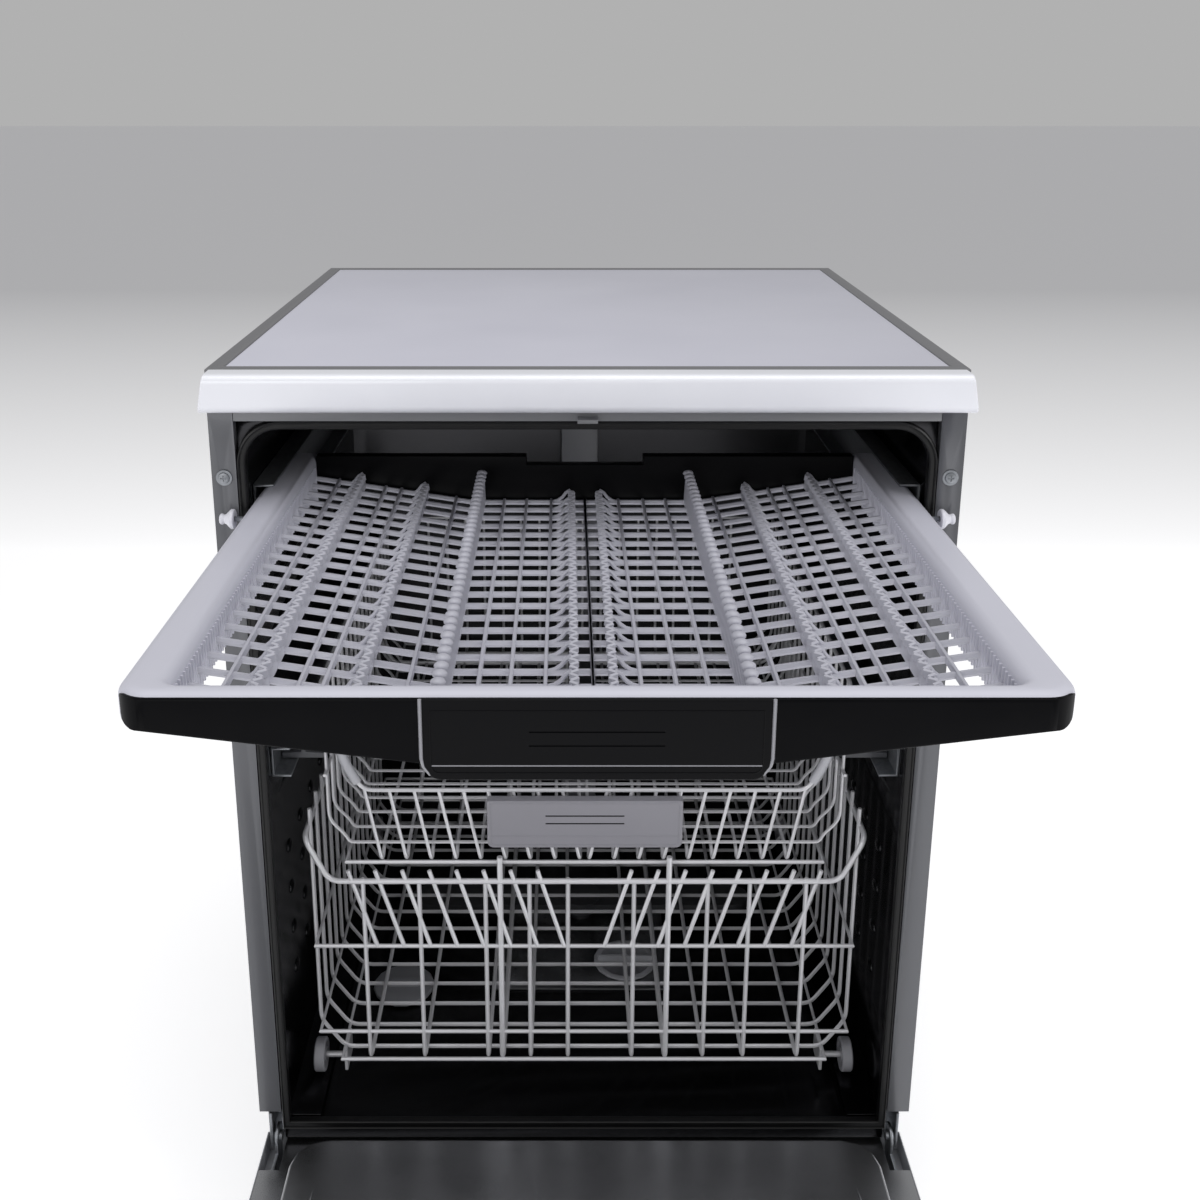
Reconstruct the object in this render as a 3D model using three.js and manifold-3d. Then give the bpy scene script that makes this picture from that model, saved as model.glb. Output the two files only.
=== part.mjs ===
// A freestanding dishwasher with its door open, its cutlery tray pulled out and its two baskets pushed in.
// Lengths are millimetres: X to the right, Y to the back from the front columns, Z up from the floor.
import * as THREE from "three";
import { mergeVertices } from "three/addons/utils/BufferGeometryUtils.js";
import Module from "manifold-3d";

const wasm = await Module();
wasm.setup();

// Driving dimensions
const cabinet_width = 598;
const cabinet_height = 850;
const cabinet_depth = 600;
const door_proud = 22;
const column_width = 20;
const sheet = 1;
const clearance = 0.3;
const foot_height = 28;
const worktop_thickness = 31;
const tub_floor = 130;
const ceiling_drop = 19;
const tub_back_gap = 33;
const tub_side_gap = 4;
const ledge_height = 10;
const gasket_depth = 10;
const gasket_width = 7;
const gasket_lift = 8;
const hinge_y = 8;
const hinge_z = 118;
const door_bottom = 104;
const door_reach_in = 30;
const tray_side_gap = 11;
const tray_back_gap = 23;
const tray_travel = 380;
const tray_drop = 56;
const upper_basket_drop = 240;
const upper_basket_height = 166;
const sump_setback = 12.5;
const basket_gap = 2;
const door_gap = 6;

const half_width = cabinet_width / 2;
const cabinet_back = cabinet_depth - door_proud;
const worktop_bottom = cabinet_height - worktop_thickness;
const tub_ceiling = worktop_bottom - ceiling_drop;
const tub_back = cabinet_back - tub_back_gap;
const inner_half = half_width - sheet - clearance;
const opening_half = half_width - column_width;
const tub_half = opening_half - tub_side_gap;
const gasket_front = -clearance;
const tub_front = gasket_front + gasket_depth + clearance;
const ledge_top = tub_floor + ledge_height;
const gasket_bottom = ledge_top - gasket_lift;
const gasket_top = tub_ceiling + gasket_lift;
const door_top = gasket_top;
const tray_half = opening_half - tray_side_gap;
const tray_top = tub_ceiling - tray_drop;
const upper_top = tub_ceiling - upper_basket_drop;
const upper_floor = upper_top - upper_basket_height;
const sump_middle = (tub_front + tub_back) / 2 + sump_setback;
const ledge_width = 30;
const notch_depth = 30;
const notch_top = ledge_top + 2 * door_gap;
const flange_back = 2 * clearance;
const door_flange_front = -flange_back - sheet;
const overrun = column_width / 2;
const weld = 0.001;
const arc_steps = 3;

// Solids from three.js geometry
function solid(geometry) {
  const bare = geometry.index ? geometry.toNonIndexed() : geometry.clone();
  bare.deleteAttribute("normal");
  bare.deleteAttribute("uv");
  const merged = mergeVertices(bare, weld);
  const mesh = new wasm.Mesh({
    numProp: 3,
    vertProperties: merged.attributes.position.array,
    triVerts: new Uint32Array(merged.index.array),
  });
  return new wasm.Manifold(mesh);
}

function geometryOf(made) {
  const mesh = made.getMesh();
  const geometry = new THREE.BufferGeometry();
  geometry.setAttribute("position", new THREE.BufferAttribute(new Float32Array(mesh.vertProperties), 3));
  geometry.setIndex(new THREE.BufferAttribute(new Uint32Array(mesh.triVerts), 1));
  geometry.computeVertexNormals();
  return geometry;
}

const unit_x = new THREE.Vector3(1, 0, 0);
const unit_y = new THREE.Vector3(0, 1, 0);
const unit_z = new THREE.Vector3(0, 0, 1);
const turned_to = {
  x: new THREE.Matrix4().makeBasis(unit_y, unit_z, unit_x),
  y: new THREE.Matrix4().makeBasis(unit_x, unit_z, unit_y.clone().negate()),
  z: new THREE.Matrix4(),
};

// An outline pulled along one axis. Its points are (Y, Z) along x, (X, Z) along y and (X, Y) along z.
function prism(outline, axis, [from, to]) {
  const shape = new THREE.Shape(outline.map(([a, b]) => new THREE.Vector2(a, b)));
  const geometry = new THREE.ExtrudeGeometry(shape, { depth: to - from, bevelEnabled: false, steps: 1 });
  geometry.applyMatrix4(turned_to[axis]);
  geometry.translate(axis === "x" ? from : 0, axis === "y" ? to : 0, axis === "z" ? from : 0);
  return solid(geometry);
}

function box([x0, x1], [y0, y1], [z0, z1]) {
  const geometry = new THREE.BoxGeometry(x1 - x0, y1 - y0, z1 - z0);
  geometry.translate((x0 + x1) / 2, (y0 + y1) / 2, (z0 + z1) / 2);
  return solid(geometry);
}

// A box on the right, or its mirror image on the left where side is -1
function sideBox(side, [x0, x1], y, z) {
  return side > 0 ? box([x0, x1], y, z) : box([-x1, -x0], y, z);
}

// A box that is centred on X
function slab(half, y, z) {
  return box([-half, half], y, z);
}

// A rectangle outline with a radius for each corner: low low, high low, high high, low high
function rounded([a0, a1], [b0, b1], radii, steps = arc_steps) {
  const corners = [[a0, b0], [a1, b0], [a1, b1], [a0, b1]];
  return corners.flatMap(([a, b], i) => {
    const r = radii[i];
    if (r === 0) return [[a, b]];
    const middle_a = i === 0 || i === 3 ? a + r : a - r;
    const middle_b = i < 2 ? b + r : b - r;
    return Array.from({ length: steps + 1 }, (_, k) => {
      const angle = ((i + 2 + k / steps) * Math.PI) / 2;
      return [middle_a + r * Math.cos(angle), middle_b + r * Math.sin(angle)];
    });
  });
}

function circle([a, b], radius, sides = 16) {
  return Array.from({ length: sides }, (_, k) => {
    const angle = ((k + 0.5) * 2 * Math.PI) / sides;
    return [a + radius * Math.cos(angle), b + radius * Math.sin(angle)];
  });
}

// The outline of a hole that clears a round of the given radius at any angle
function bore(centre, radius, sides = 16) {
  return circle(centre, radius / Math.cos(Math.PI / sides), sides);
}

// The outline of a flat strip of one width that follows a bent line
function strip(line, width) {
  const points = line.map(([a, b]) => new THREE.Vector2(a, b));
  const normals = points.slice(1).map((p, i) => {
    const along = p.clone().sub(points[i]).normalize();
    return new THREE.Vector2(-along.y, along.x);
  });
  const offset = (p, i, side) => {
    const first = normals[Math.max(i - 1, 0)];
    const last = normals[Math.min(i, normals.length - 1)];
    const mitre = first.clone().add(last).divideScalar(1 + first.dot(last));
    return [p.x + (mitre.x * side * width) / 2, p.y + (mitre.y * side * width) / 2];
  };
  return [...points.map((p, i) => offset(p, i, 1)), ...points.map((p, i) => offset(p, i, -1)).reverse()];
}

// A profile of [radius, height] points turned round an axis through a place
function turned(profile, axis, [x, y, z], sides = 20) {
  const geometry = new THREE.LatheGeometry(profile.map(([r, h]) => new THREE.Vector2(r, h)), sides);
  if (axis === "z") geometry.rotateX(Math.PI / 2);
  if (axis === "x") geometry.rotateZ(-Math.PI / 2);
  geometry.translate(x, y, z);
  return solid(geometry);
}

const join = (...parts) => parts.reduce((whole, part) => whole.add(part));
const cut = (whole, ...parts) => parts.reduce((left, part) => left.subtract(part), whole);
const spread = (low, high, count) =>
  Array.from({ length: count }, (_, i) => low + ((high - low) * i) / (count - 1));

function paint(colour, roughness, metalness) {
  return new THREE.MeshStandardMaterial({ color: colour, roughness, metalness });
}

const dark_steel = paint(0x4b4c4e, 0.5, 0.3);
const silver = paint(0xd6d8dd, 0.35, 0.6);
const laminate = paint(0xbcbbc8, 0.6, 0);
const stainless = paint(0x9fa0a3, 0.25, 0.9);
const rubber = paint(0x0b0b0c, 0.7, 0);
const black_plastic = paint(0x101011, 0.35, 0);
const grey_plastic = paint(0x7d7b84, 0.5, 0);
const pale_plastic = paint(0xc4c4d0, 0.45, 0);
const dark_plastic = paint(0x3a3a3d, 0.6, 0);
const coated_wire = paint(0xb9b9be, 0.4, 0.2);
const zinc = paint(0x8d9094, 0.45, 0.8);
const iron = paint(0x505050, 0.8, 0.4);

function piece(name, parent, made, material) {
  const mesh = new THREE.Mesh(geometryOf(made), material);
  mesh.name = name;
  parent.add(mesh);
  return mesh;
}

// The right piece as it is made, and the left piece as its mirror image
function pair(name, parent, made, material) {
  piece(name + "_right", parent, made, material);
  piece(name + "_left", parent, made, material).scale.x = -1;
}

const dishwasher = new THREE.Group();
const cabinet = new THREE.Group();
dishwasher.add(cabinet);

// Worktop: a dark plastic frame with a lip that carries the laminate panel, and a silver trim along its
// front
const worktop = {
  border: 13,
  lip: 8,
  lip_height: 3,
  panel_sink: 0.6,
  trim_flare: 5.5,
  trim_inset: 4,
  trim_round: 6,
};
const panel_half = half_width - worktop.border;
const worktop_rear = cabinet_back;
const panel_y = [worktop.border, worktop_rear - worktop.border];
const worktop_frame = cut(
  slab(half_width, [clearance, worktop_rear], [worktop_bottom, cabinet_height]),
  slab(panel_half - worktop.lip, [panel_y[0] + worktop.lip, panel_y[1] - worktop.lip], [
    worktop_bottom - overrun,
    cabinet_height,
  ]),
  slab(panel_half, panel_y, [worktop_bottom + worktop.lip_height, cabinet_height + overrun]),
);
piece("worktop_frame", cabinet, worktop_frame, dark_steel);
piece(
  "worktop_panel",
  cabinet,
  slab(panel_half - clearance, [panel_y[0] + clearance, panel_y[1] - clearance], [
    worktop_bottom + worktop.lip_height + clearance,
    cabinet_height - worktop.panel_sink,
  ]),
  laminate,
);
const trim_bottom_half = half_width + worktop.trim_inset / 2;
const trim_top_half = trim_bottom_half - worktop.trim_flare;
const trim_front_view = [
  [-trim_bottom_half, worktop_bottom],
  [trim_bottom_half, worktop_bottom],
  [trim_top_half, cabinet_height],
  [-trim_top_half, cabinet_height],
];
const trim_side_view = rounded(
  [-door_proud, 0],
  [worktop_bottom, cabinet_height],
  [worktop.trim_round / 2, 0, 0, worktop.trim_round],
);
const trim_span = [-trim_bottom_half - overrun, trim_bottom_half + overrun];
piece(
  "worktop_front_trim",
  cabinet,
  prism(trim_front_view, "y", [-door_proud, 0]).intersect(prism(trim_side_view, "x", trim_span)),
  silver,
);

// Screw that holds each front column to the tub flange, with its washer
const screw = {
  drop: 57,
  head_radius: 4.6,
  head_height: 1.6,
  washer_radius: 6.6,
  washer_height: 0.8,
  radius: 2,
};
const screw_x = half_width - column_width / 2;
const screw_z = worktop_bottom - screw.drop;
const screw_hole = prism(bore([screw_x, screw_z], screw.radius + clearance), "y", [
  -overrun,
  tub_front + overrun,
]);
const washer_front = -clearance - screw.washer_height;
const flange_screw = join(
  prism(circle([screw_x, screw_z], screw.washer_radius), "y", [washer_front, -clearance]),
  prism(circle([screw_x, screw_z], screw.head_radius), "y", [washer_front - screw.head_height, washer_front]),
  prism(circle([screw_x, screw_z], screw.radius), "y", [washer_front, tub_front + 2 * sheet]),
);
pair("flange_screw", cabinet, flange_screw, zinc);

// Side panels: sheet steel, folded round the front as a column and stepped back below for the swing of
// the door
const panel_top = worktop_bottom - clearance;
const panel_side_view = [
  [0, panel_top],
  [0, notch_top],
  [notch_depth, notch_top],
  [notch_depth, foot_height],
  [cabinet_back, foot_height],
  [cabinet_back, panel_top],
];
const side_panel = cut(
  join(
    prism(panel_side_view, "x", [half_width - sheet, half_width]),
    box([opening_half, half_width - sheet / 2], [0, sheet], [notch_top, panel_top]),
    box([opening_half, opening_half + sheet], [0, tub_front - 2 * clearance], [notch_top, panel_top]),
  ),
  screw_hole,
);
pair("side_panel", cabinet, side_panel, dark_steel);
piece(
  "back_panel",
  cabinet,
  slab(inner_half, [cabinet_back - sheet, cabinet_back], [foot_height, panel_top]),
  zinc,
);

// Front rail: an angle of sheet steel under the worktop, with the tongue that the door latch grips
const rail = { depth: 30, tongue_half: 8, tongue_height: 3, tongue_reach: 12 };
const rail_half = opening_half - clearance;
const rail_bottom = gasket_top + clearance;
const tongue_bottom = rail_bottom + sheet;
const front_rail = join(
  slab(rail_half, [0, sheet], [rail_bottom, panel_top]),
  slab(rail_half, [0, rail.depth], [panel_top - sheet, panel_top]),
  slab(rail.tongue_half, [-rail.tongue_reach, sheet], [tongue_bottom, tongue_bottom + rail.tongue_height]),
);
piece("front_rail", cabinet, front_rail, dark_steel);

// Base: an open plastic pan that carries the tub on its rim, with a kickplate, four feet and a counterweight
const base = { front: 48, wall: 3, kick_thickness: 3.7, kick_bottom: 10 };
const foot = { radius: 22, inset: 38, plate: 7 };
const base_top = tub_floor - sheet - clearance;
const base_back = cabinet_back - sheet - clearance;
const base_pan = cut(
  slab(inner_half, [base.front, base_back], [foot_height, base_top]),
  slab(inner_half - base.wall, [base.front + base.wall, base_back - base.wall], [
    foot_height + base.wall,
    base_top + overrun,
  ]),
);
piece("base_pan", cabinet, base_pan, dark_plastic);
const base_floor = foot_height + base.wall + clearance;
const kick_back = base.front - clearance;
const door_swing_bottom = hinge_z - door_proud - hinge_y;
piece(
  "kickplate",
  cabinet,
  slab(inner_half, [kick_back - base.kick_thickness, kick_back], [
    base.kick_bottom,
    door_swing_bottom - 2 * basket_gap,
  ]),
  dark_steel,
);
const foot_stem = foot.radius / 3;
const foot_profile = [
  [0, 0],
  [foot.radius, 0],
  [foot.radius, foot.plate],
  [foot_stem, foot.plate + foot_stem / 2],
  [foot_stem, foot_height - clearance],
  [0, foot_height - clearance],
];
const foot_x = half_width - foot.inset;
const foot_places = { front: base.front + foot.radius + base.wall, rear: cabinet_back - foot.inset };
for (const [place, y] of Object.entries(foot_places)) {
  pair("foot_" + place, cabinet, turned(foot_profile, "z", [foot_x, y, 0]), black_plastic);
}
const ballast = { half: 200, depth: 50, height: 44 };
const ballast_back = base_back - base.wall - clearance;
piece(
  "counterweight",
  cabinet,
  slab(ballast.half, [ballast_back - ballast.depth, ballast_back], [base_floor, base_floor + ballast.height]),
  iron,
);

// Tub: stainless box with a ledge along each side for the wheels, and a flange round its front
const tub_round = 24;
function tubOutline(grow) {
  const half = tub_half + grow;
  const low = tub_floor - grow;
  const step = tub_half - ledge_width + grow;
  const corner = tub_round + grow;
  const shelf = ledge_top - grow;
  const top = rounded([-half, half], [shelf, tub_ceiling + grow], [0, 0, corner, corner]);
  return [[-step, shelf], [-step, low], [step, low], [step, shelf], ...top.slice(1), top[0]];
}
const sump = {
  half: 90,
  wall: 3,
  bottom: 46,
  cover_lap: 4,
  cover_height: 2,
  post_radius: 13,
  post_y: 40,
};
const sump_y = [sump_middle - sump.half, sump_middle + sump.half];
const sump_well_y = [sump_y[0] + sump.wall, sump_y[1] - sump.wall];
const sump_in = sump.half - sump.wall;
const softener = {
  y: 200,
  half: 68,
  height: 76,
  neck_radius: 28,
  neck_gap: 55,
  wall_gap: 36.7,
  sump_gap: 32,
  cap_radius: 32,
  cap_height: 9,
};
const softener_x = -(tub_half - ledge_width - softener.neck_gap);
const tub_inside = prism(tubOutline(0), "y", [tub_front - overrun, tub_back]);
const flange_top = gasket_top + sheet;
const lower_flange_bottom = door_bottom + ledge_height;
const tub = cut(
  join(
    prism(tubOutline(sheet), "y", [tub_front, tub_back + sheet]),
    slab(inner_half, [tub_front, tub_front + sheet], [notch_top, flange_top]),
    slab(opening_half - clearance, [tub_front, tub_front + sheet], [lower_flange_bottom, notch_top + sheet]),
  ),
  tub_inside,
  slab(sump_in, sump_well_y, [tub_floor - overrun, tub_floor + sheet]),
  prism(circle([softener_x, softener.y], softener.neck_radius + clearance), "z", [
    tub_floor - overrun,
    tub_floor + sheet,
  ]),
  screw_hole,
  prism(bore([-screw_x, screw_z], screw.radius + clearance), "y", [-overrun, tub_front + overrun]),
);
piece("tub", cabinet, tub, stainless);

// Door gasket: a rubber ring that sits on the tub flange
const gasket_round = 35;
const gasket_outer = rounded(
  [-opening_half + clearance, opening_half - clearance],
  [gasket_bottom, gasket_top],
  [0, 0, gasket_round, gasket_round],
  5,
);
const gasket_inner_half = opening_half - clearance - gasket_width;
const gasket_inner = rounded(
  [-gasket_inner_half, gasket_inner_half],
  [ledge_top, tub_ceiling],
  [0, 0, gasket_round - gasket_width, gasket_round - gasket_width],
  5,
);
const door_gasket = cut(
  prism(gasket_outer, "y", [gasket_front, tub_front - clearance]),
  prism(gasket_inner, "y", [gasket_front - overrun, tub_front + overrun]),
);
piece("door_gasket", cabinet, door_gasket, rubber);

// Sump below the tub floor, with the post that carries the lower spray arm, and its filters
const arm_y = sump_middle + sump.post_y;
const post_top = tub_floor + ledge_height + 2 * basket_gap;
const sump_basin = join(
  cut(
    slab(sump.half, sump_y, [sump.bottom, base_top]),
    slab(sump_in, sump_well_y, [sump.bottom + sump.wall, base_top + overrun]),
  ),
  prism(circle([0, arm_y], sump.post_radius), "z", [sump.bottom + sump.wall / 2, post_top]),
);
piece("sump", cabinet, sump_basin, dark_plastic);
const filter = { x: 48, y: -48, radius: 30, wall: 2, bottom: 62, lip: 4, grip: 3 };
const filter_y = sump_middle + filter.y;
const filter_centre = [filter.x, filter_y];
const cover_bottom = tub_floor + clearance;
const cover_top = cover_bottom + sump.cover_height;
const through_cover = [cover_bottom - overrun, cover_top + overrun];
const filter_plate = cut(
  box(
    [-sump.half - sump.cover_lap, sump.half + sump.cover_lap],
    [sump_y[0] - sump.cover_lap, sump_y[1] + sump.cover_lap],
    [cover_bottom, cover_top],
  ),
  prism(circle([0, arm_y], sump.post_radius + clearance), "z", through_cover),
  prism(bore(filter_centre, filter.radius + clearance), "z", through_cover),
);
piece("filter_plate", cabinet, filter_plate, stainless);
const filter_top = post_top - 2 * basket_gap;
const lip_z = [cover_top + clearance, cover_top + clearance + filter.wall];
const filter_bore = circle(filter_centre, filter.radius - filter.wall);
const filter_cylinder = join(
  cut(
    prism(circle(filter_centre, filter.radius), "z", [filter.bottom, lip_z[1]]),
    prism(filter_bore, "z", [filter.bottom + filter.wall, lip_z[1] + overrun]),
  ),
  cut(
    prism(circle(filter_centre, filter.radius + filter.lip), "z", lip_z),
    prism(filter_bore, "z", [cover_top, lip_z[1] + overrun]),
  ),
  box(
    [filter.x - filter.radius, filter.x + filter.radius],
    [filter_y - filter.grip / 2, filter_y + filter.grip / 2],
    [cover_top, filter_top],
  ),
);
piece("filter_cylinder", cabinet, filter_cylinder, pale_plastic);

// Pumps, and the water softener whose neck comes up through the tub floor
const pump = { radius: 38, length: 150, pipe_radius: 14, foot: 20 };
const pump_y = (sump_y[1] + ballast_back - ballast.depth) / 2;
const pump_z = base_floor + pump.radius + base.wall;
const circulation_pump = join(
  prism(circle([pump_y, pump_z], pump.radius), "x", [-pump.radius / 2, pump.length]),
  prism(circle([0, pump_z], pump.pipe_radius), "y", [sump_y[1] + clearance, pump_y]),
  box([0, pump.length / 2], [pump_y - pump.foot, pump_y + pump.foot], [base_floor, pump_z]),
);
piece("circulation_pump", cabinet, circulation_pump, dark_plastic);
const drain = { radius: 26, length: 90, setback: 62 };
const drain_y = sump_middle + drain.setback;
const drain_z = base_floor + drain.radius + base.wall;
const drain_pump = join(
  prism(circle([drain_y, drain_z], drain.radius), "x", [
    -sump.half - clearance - drain.length,
    -sump.half - clearance,
  ]),
  box(
    [-sump.half - drain.length, -sump.half - drain.length / 2],
    [drain_y - drain.radius / 2, drain_y + drain.radius / 2],
    [base_floor, drain_z],
  ),
);
piece("drain_pump", cabinet, drain_pump, grey_plastic);
const neck_top = tub_floor + sheet;
const softener_tank = join(
  box(
    [softener.wall_gap + base.wall - inner_half, -sump.half - softener.sump_gap],
    [softener.y - softener.half, softener.y + softener.half],
    [base_floor, base_floor + softener.height],
  ),
  prism(circle([softener_x, softener.y], softener.neck_radius), "z", [
    base_floor + softener.height / 2,
    neck_top,
  ]),
);
piece("softener_tank", cabinet, softener_tank, pale_plastic);
const cap_bottom = neck_top + clearance;
const cap_waist = softener.cap_radius / 2;
const cap_grip = softener.cap_height / 2;
const salt_cap = join(
  prism(circle([softener_x, softener.y], softener.cap_radius), "z", [cap_bottom, cap_bottom + cap_grip]),
  box(
    [softener_x - cap_waist, softener_x + cap_waist],
    [softener.y - cap_grip, softener.y + cap_grip],
    [cap_bottom, cap_bottom + softener.cap_height],
  ),
);
piece("salt_cap", cabinet, salt_cap, grey_plastic);

// Spray pipe: up the back of the tub and forward under its ceiling to a nozzle
const pipe = { half: 22, thickness: 16, nozzle_radius: 44, nozzle_height: 12 };
const pipe_back = tub_back - clearance;
const pipe_top = tub_ceiling - clearance;
const pipe_line = [
  [pipe_back - pipe.thickness, tub_floor + clearance],
  [pipe_back, tub_floor + clearance],
  [pipe_back, pipe_top],
  [sump_middle, pipe_top],
  [sump_middle, pipe_top - pipe.thickness],
  [pipe_back - pipe.thickness, pipe_top - pipe.thickness],
];
const nozzle_top = pipe_top - pipe.thickness / 2;
const spray_pipe = join(
  prism(pipe_line, "x", [-pipe.half, pipe.half]),
  prism(circle([0, sump_middle], pipe.nozzle_radius), "z", [
    pipe_top - pipe.thickness - pipe.nozzle_height,
    nozzle_top,
  ]),
);
piece("spray_pipe", cabinet, spray_pipe, grey_plastic);

// A spray arm: a flat blade with round ends on a hub
function sprayArm(centre_y, radius, half, [low, high], hub_radius, hub) {
  const blade = rounded([-radius, radius], [centre_y - half, centre_y + half], [half, half, half, half]);
  return join(prism(blade, "z", [low, high]), prism(circle([0, centre_y], hub_radius), "z", hub));
}
const lower_arm = { tip_gap: 3.7, half: 20, hub_radius: 24, height: 12 };
const lower_arm_bottom = post_top + clearance;
const lower_arm_room = Math.min(tub_half - ledge_width, pipe_back - pipe.thickness - arm_y);
piece(
  "lower_spray_arm",
  cabinet,
  sprayArm(
    arm_y,
    lower_arm_room - lower_arm.tip_gap,
    lower_arm.half,
    [lower_arm_bottom + basket_gap, lower_arm_bottom + lower_arm.height],
    lower_arm.hub_radius,
    [lower_arm_bottom, lower_arm_bottom + lower_arm.height + basket_gap],
  ),
  grey_plastic,
);

// Rails on the tub walls: a channel that holds the tray, with a white roller at its front, and one
// for the upper basket
const channel = { wall: 2, lip: 17, back: 5 };
const tub_wall_face = tub_half - clearance;
const channel_y = [door_reach_in + basket_gap, tub_back - channel.back];
function channelRail(bottom, top) {
  const view = [
    [tub_wall_face - channel.lip, bottom],
    [tub_wall_face, bottom],
    [tub_wall_face, top],
    [tub_wall_face - channel.lip, top],
    [tub_wall_face - channel.lip, top - channel.wall],
    [tub_wall_face - channel.wall, top - channel.wall],
    [tub_wall_face - channel.wall, bottom + channel.wall],
    [tub_wall_face - channel.lip, bottom + channel.wall],
  ];
  return prism(view, "y", channel_y);
}
const side_rail_height = 48;
const tray_bottom = tray_top - side_rail_height;
const roller = {
  drop: 13,
  y: -11,
  radius: 8,
  small_radius: 4.5,
  width: 12,
  axle_radius: 2.2,
  arm: 4,
};
const roller_z = tray_top - roller.drop;
const roller_inner = opening_half + sheet;
const roller_face = tray_half + clearance;
const rail_arm_x = [roller_face, roller_face + channel.wall];
const rail_arm_z = [roller_z - roller.arm, roller_z + roller.arm];
const tray_rail = join(
  channelRail(tray_bottom - channel.wall - clearance, tray_top + channel.wall + clearance),
  box(rail_arm_x, [roller.y - roller.arm, channel_y[0] + overrun], rail_arm_z),
  box([rail_arm_x[0], tub_wall_face], [channel_y[0], channel_y[0] + overrun], rail_arm_z),
  prism(circle([roller.y, roller_z], roller.axle_radius, 10), "x", [
    rail_arm_x[0],
    roller_inner + roller.width,
  ]),
);
pair("tray_rail", cabinet, tray_rail, zinc);
const tray_roller = cut(
  turned(
    [
      [0, 0],
      [roller.radius, 0],
      [roller.radius, roller.width / 3],
      [roller.small_radius, roller.width - clearance],
      [0, roller.width - clearance],
    ],
    "x",
    [roller_inner, roller.y, roller_z],
    14,
  ),
  prism(circle([roller.y, roller_z], roller.axle_radius + clearance, 10), "x", [
    roller_inner - overrun,
    roller_inner + roller.width + overrun,
  ]),
);
pair("tray_roller", cabinet, tray_roller, pale_plastic);
const upper_rail = { lift: 84, height: 28 };
const upper_rail_z = [upper_floor + upper_rail.lift, upper_floor + upper_rail.lift + upper_rail.height];
pair("upper_rail", cabinet, channelRail(...upper_rail_z), zinc);

// Hinge: a bracket with its pin on the base, and an arm that turns on the pin and lies inside the door
const hinge = {
  plate: 2.5,
  arm_inset: 13,
  pin_radius: 5,
  eye: 12,
  arm_up: 110,
  foot: 26,
  bracket_top: 30,
};
const arm_x = [half_width - hinge.arm_inset - hinge.plate, half_width - hinge.arm_inset];
const bracket_x = [arm_x[1] + hinge.plate, arm_x[1] + 2 * hinge.plate];
const bracket_back = base.front - clearance;
const bracket_bottom = door_swing_bottom + hinge.plate;
const bracket_low = hinge_z - hinge_y + clearance;
const hinge_bracket = join(
  box(bracket_x, [hinge_y - hinge.eye / 2, bracket_back], [bracket_low, hinge_z + hinge.bracket_top]),
  box([bracket_x[1] - hinge.foot, bracket_x[1]], [bracket_back - hinge.plate, bracket_back], [
    bracket_bottom,
    base_top,
  ]),
  prism(circle([hinge_y, hinge_z], hinge.pin_radius), "x", [
    arm_x[0] - hinge.plate,
    bracket_x[0] + hinge.plate / 2,
  ]),
);
pair("hinge_bracket", cabinet, hinge_bracket, zinc);

// Door: modelled closed, and turned about the hinge pins to stand open
const door = new THREE.Group();
door.position.set(0, hinge_y, hinge_z);
door.rotation.x = Math.PI / 2;
const closed_door = new THREE.Group();
closed_door.position.set(0, -hinge_y, -hinge_z);
door.add(closed_door);
dishwasher.add(door);

const door_half = half_width - 2 * clearance;
const door_front = -door_proud;
const bowl = { gap: 9, top_gap: 8, round: 30 };
const bowl_half = gasket_inner_half - bowl.gap;
const bowl_z = [ledge_top + door_gap, tub_ceiling - bowl.top_gap];
const bowl_shape = (shrink) =>
  rounded(
    [-bowl_half + shrink, bowl_half - shrink],
    [bowl_z[0] + shrink, bowl_z[1] - shrink],
    Array(4).fill(bowl.round - shrink),
  );
const flange_y = [door_flange_front, -flange_back];
const dispenser = { x: -15, z: 455, width: 180, height: 130, depth: 22, step: 0.3 };
const dispenser_x = [dispenser.x - dispenser.width / 2, dispenser.x + dispenser.width / 2];
const dispenser_z = [dispenser.z - dispenser.height / 2, dispenser.z + dispenser.height / 2];
const dispenser_front = door_reach_in - dispenser.step;
const flange_half = door_half - sheet - clearance;
const through_flange = [flange_y[0] - overrun, flange_y[1] + overrun];
const roller_slot_x = [rail_arm_x[0] - basket_gap, roller_inner + roller.width + basket_gap];
const roller_slot_z = [roller_z - roller.radius - basket_gap, roller_z + roller.radius + basket_gap];
const hinge_notch_x = [arm_x[0] - 2 * hinge.plate, door_half];
const hinge_notch_z = [door_bottom, hinge_z + hinge.bracket_top + basket_gap];
const door_inner_panel = cut(
  join(
    slab(flange_half, flange_y, [door_bottom + sheet + clearance, door_top - clearance]),
    prism(bowl_shape(0), "y", [flange_y[0], door_reach_in]),
  ),
  prism(bowl_shape(sheet), "y", [flange_y[0] - overrun, door_reach_in - sheet]),
  box(
    [dispenser_x[0] - clearance, dispenser_x[1] + clearance],
    [0, door_reach_in + overrun],
    [dispenser_z[0] - clearance, dispenser_z[1] + clearance],
  ),
  ...[-1, 1].flatMap((side) => [
    sideBox(side, roller_slot_x, through_flange, roller_slot_z),
    sideBox(side, hinge_notch_x, through_flange, hinge_notch_z),
    prism(circle([side * screw_x, screw_z], screw.washer_radius + clearance), "y", through_flange),
  ]),
);
piece("door_inner_panel", closed_door, door_inner_panel, stainless);

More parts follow.
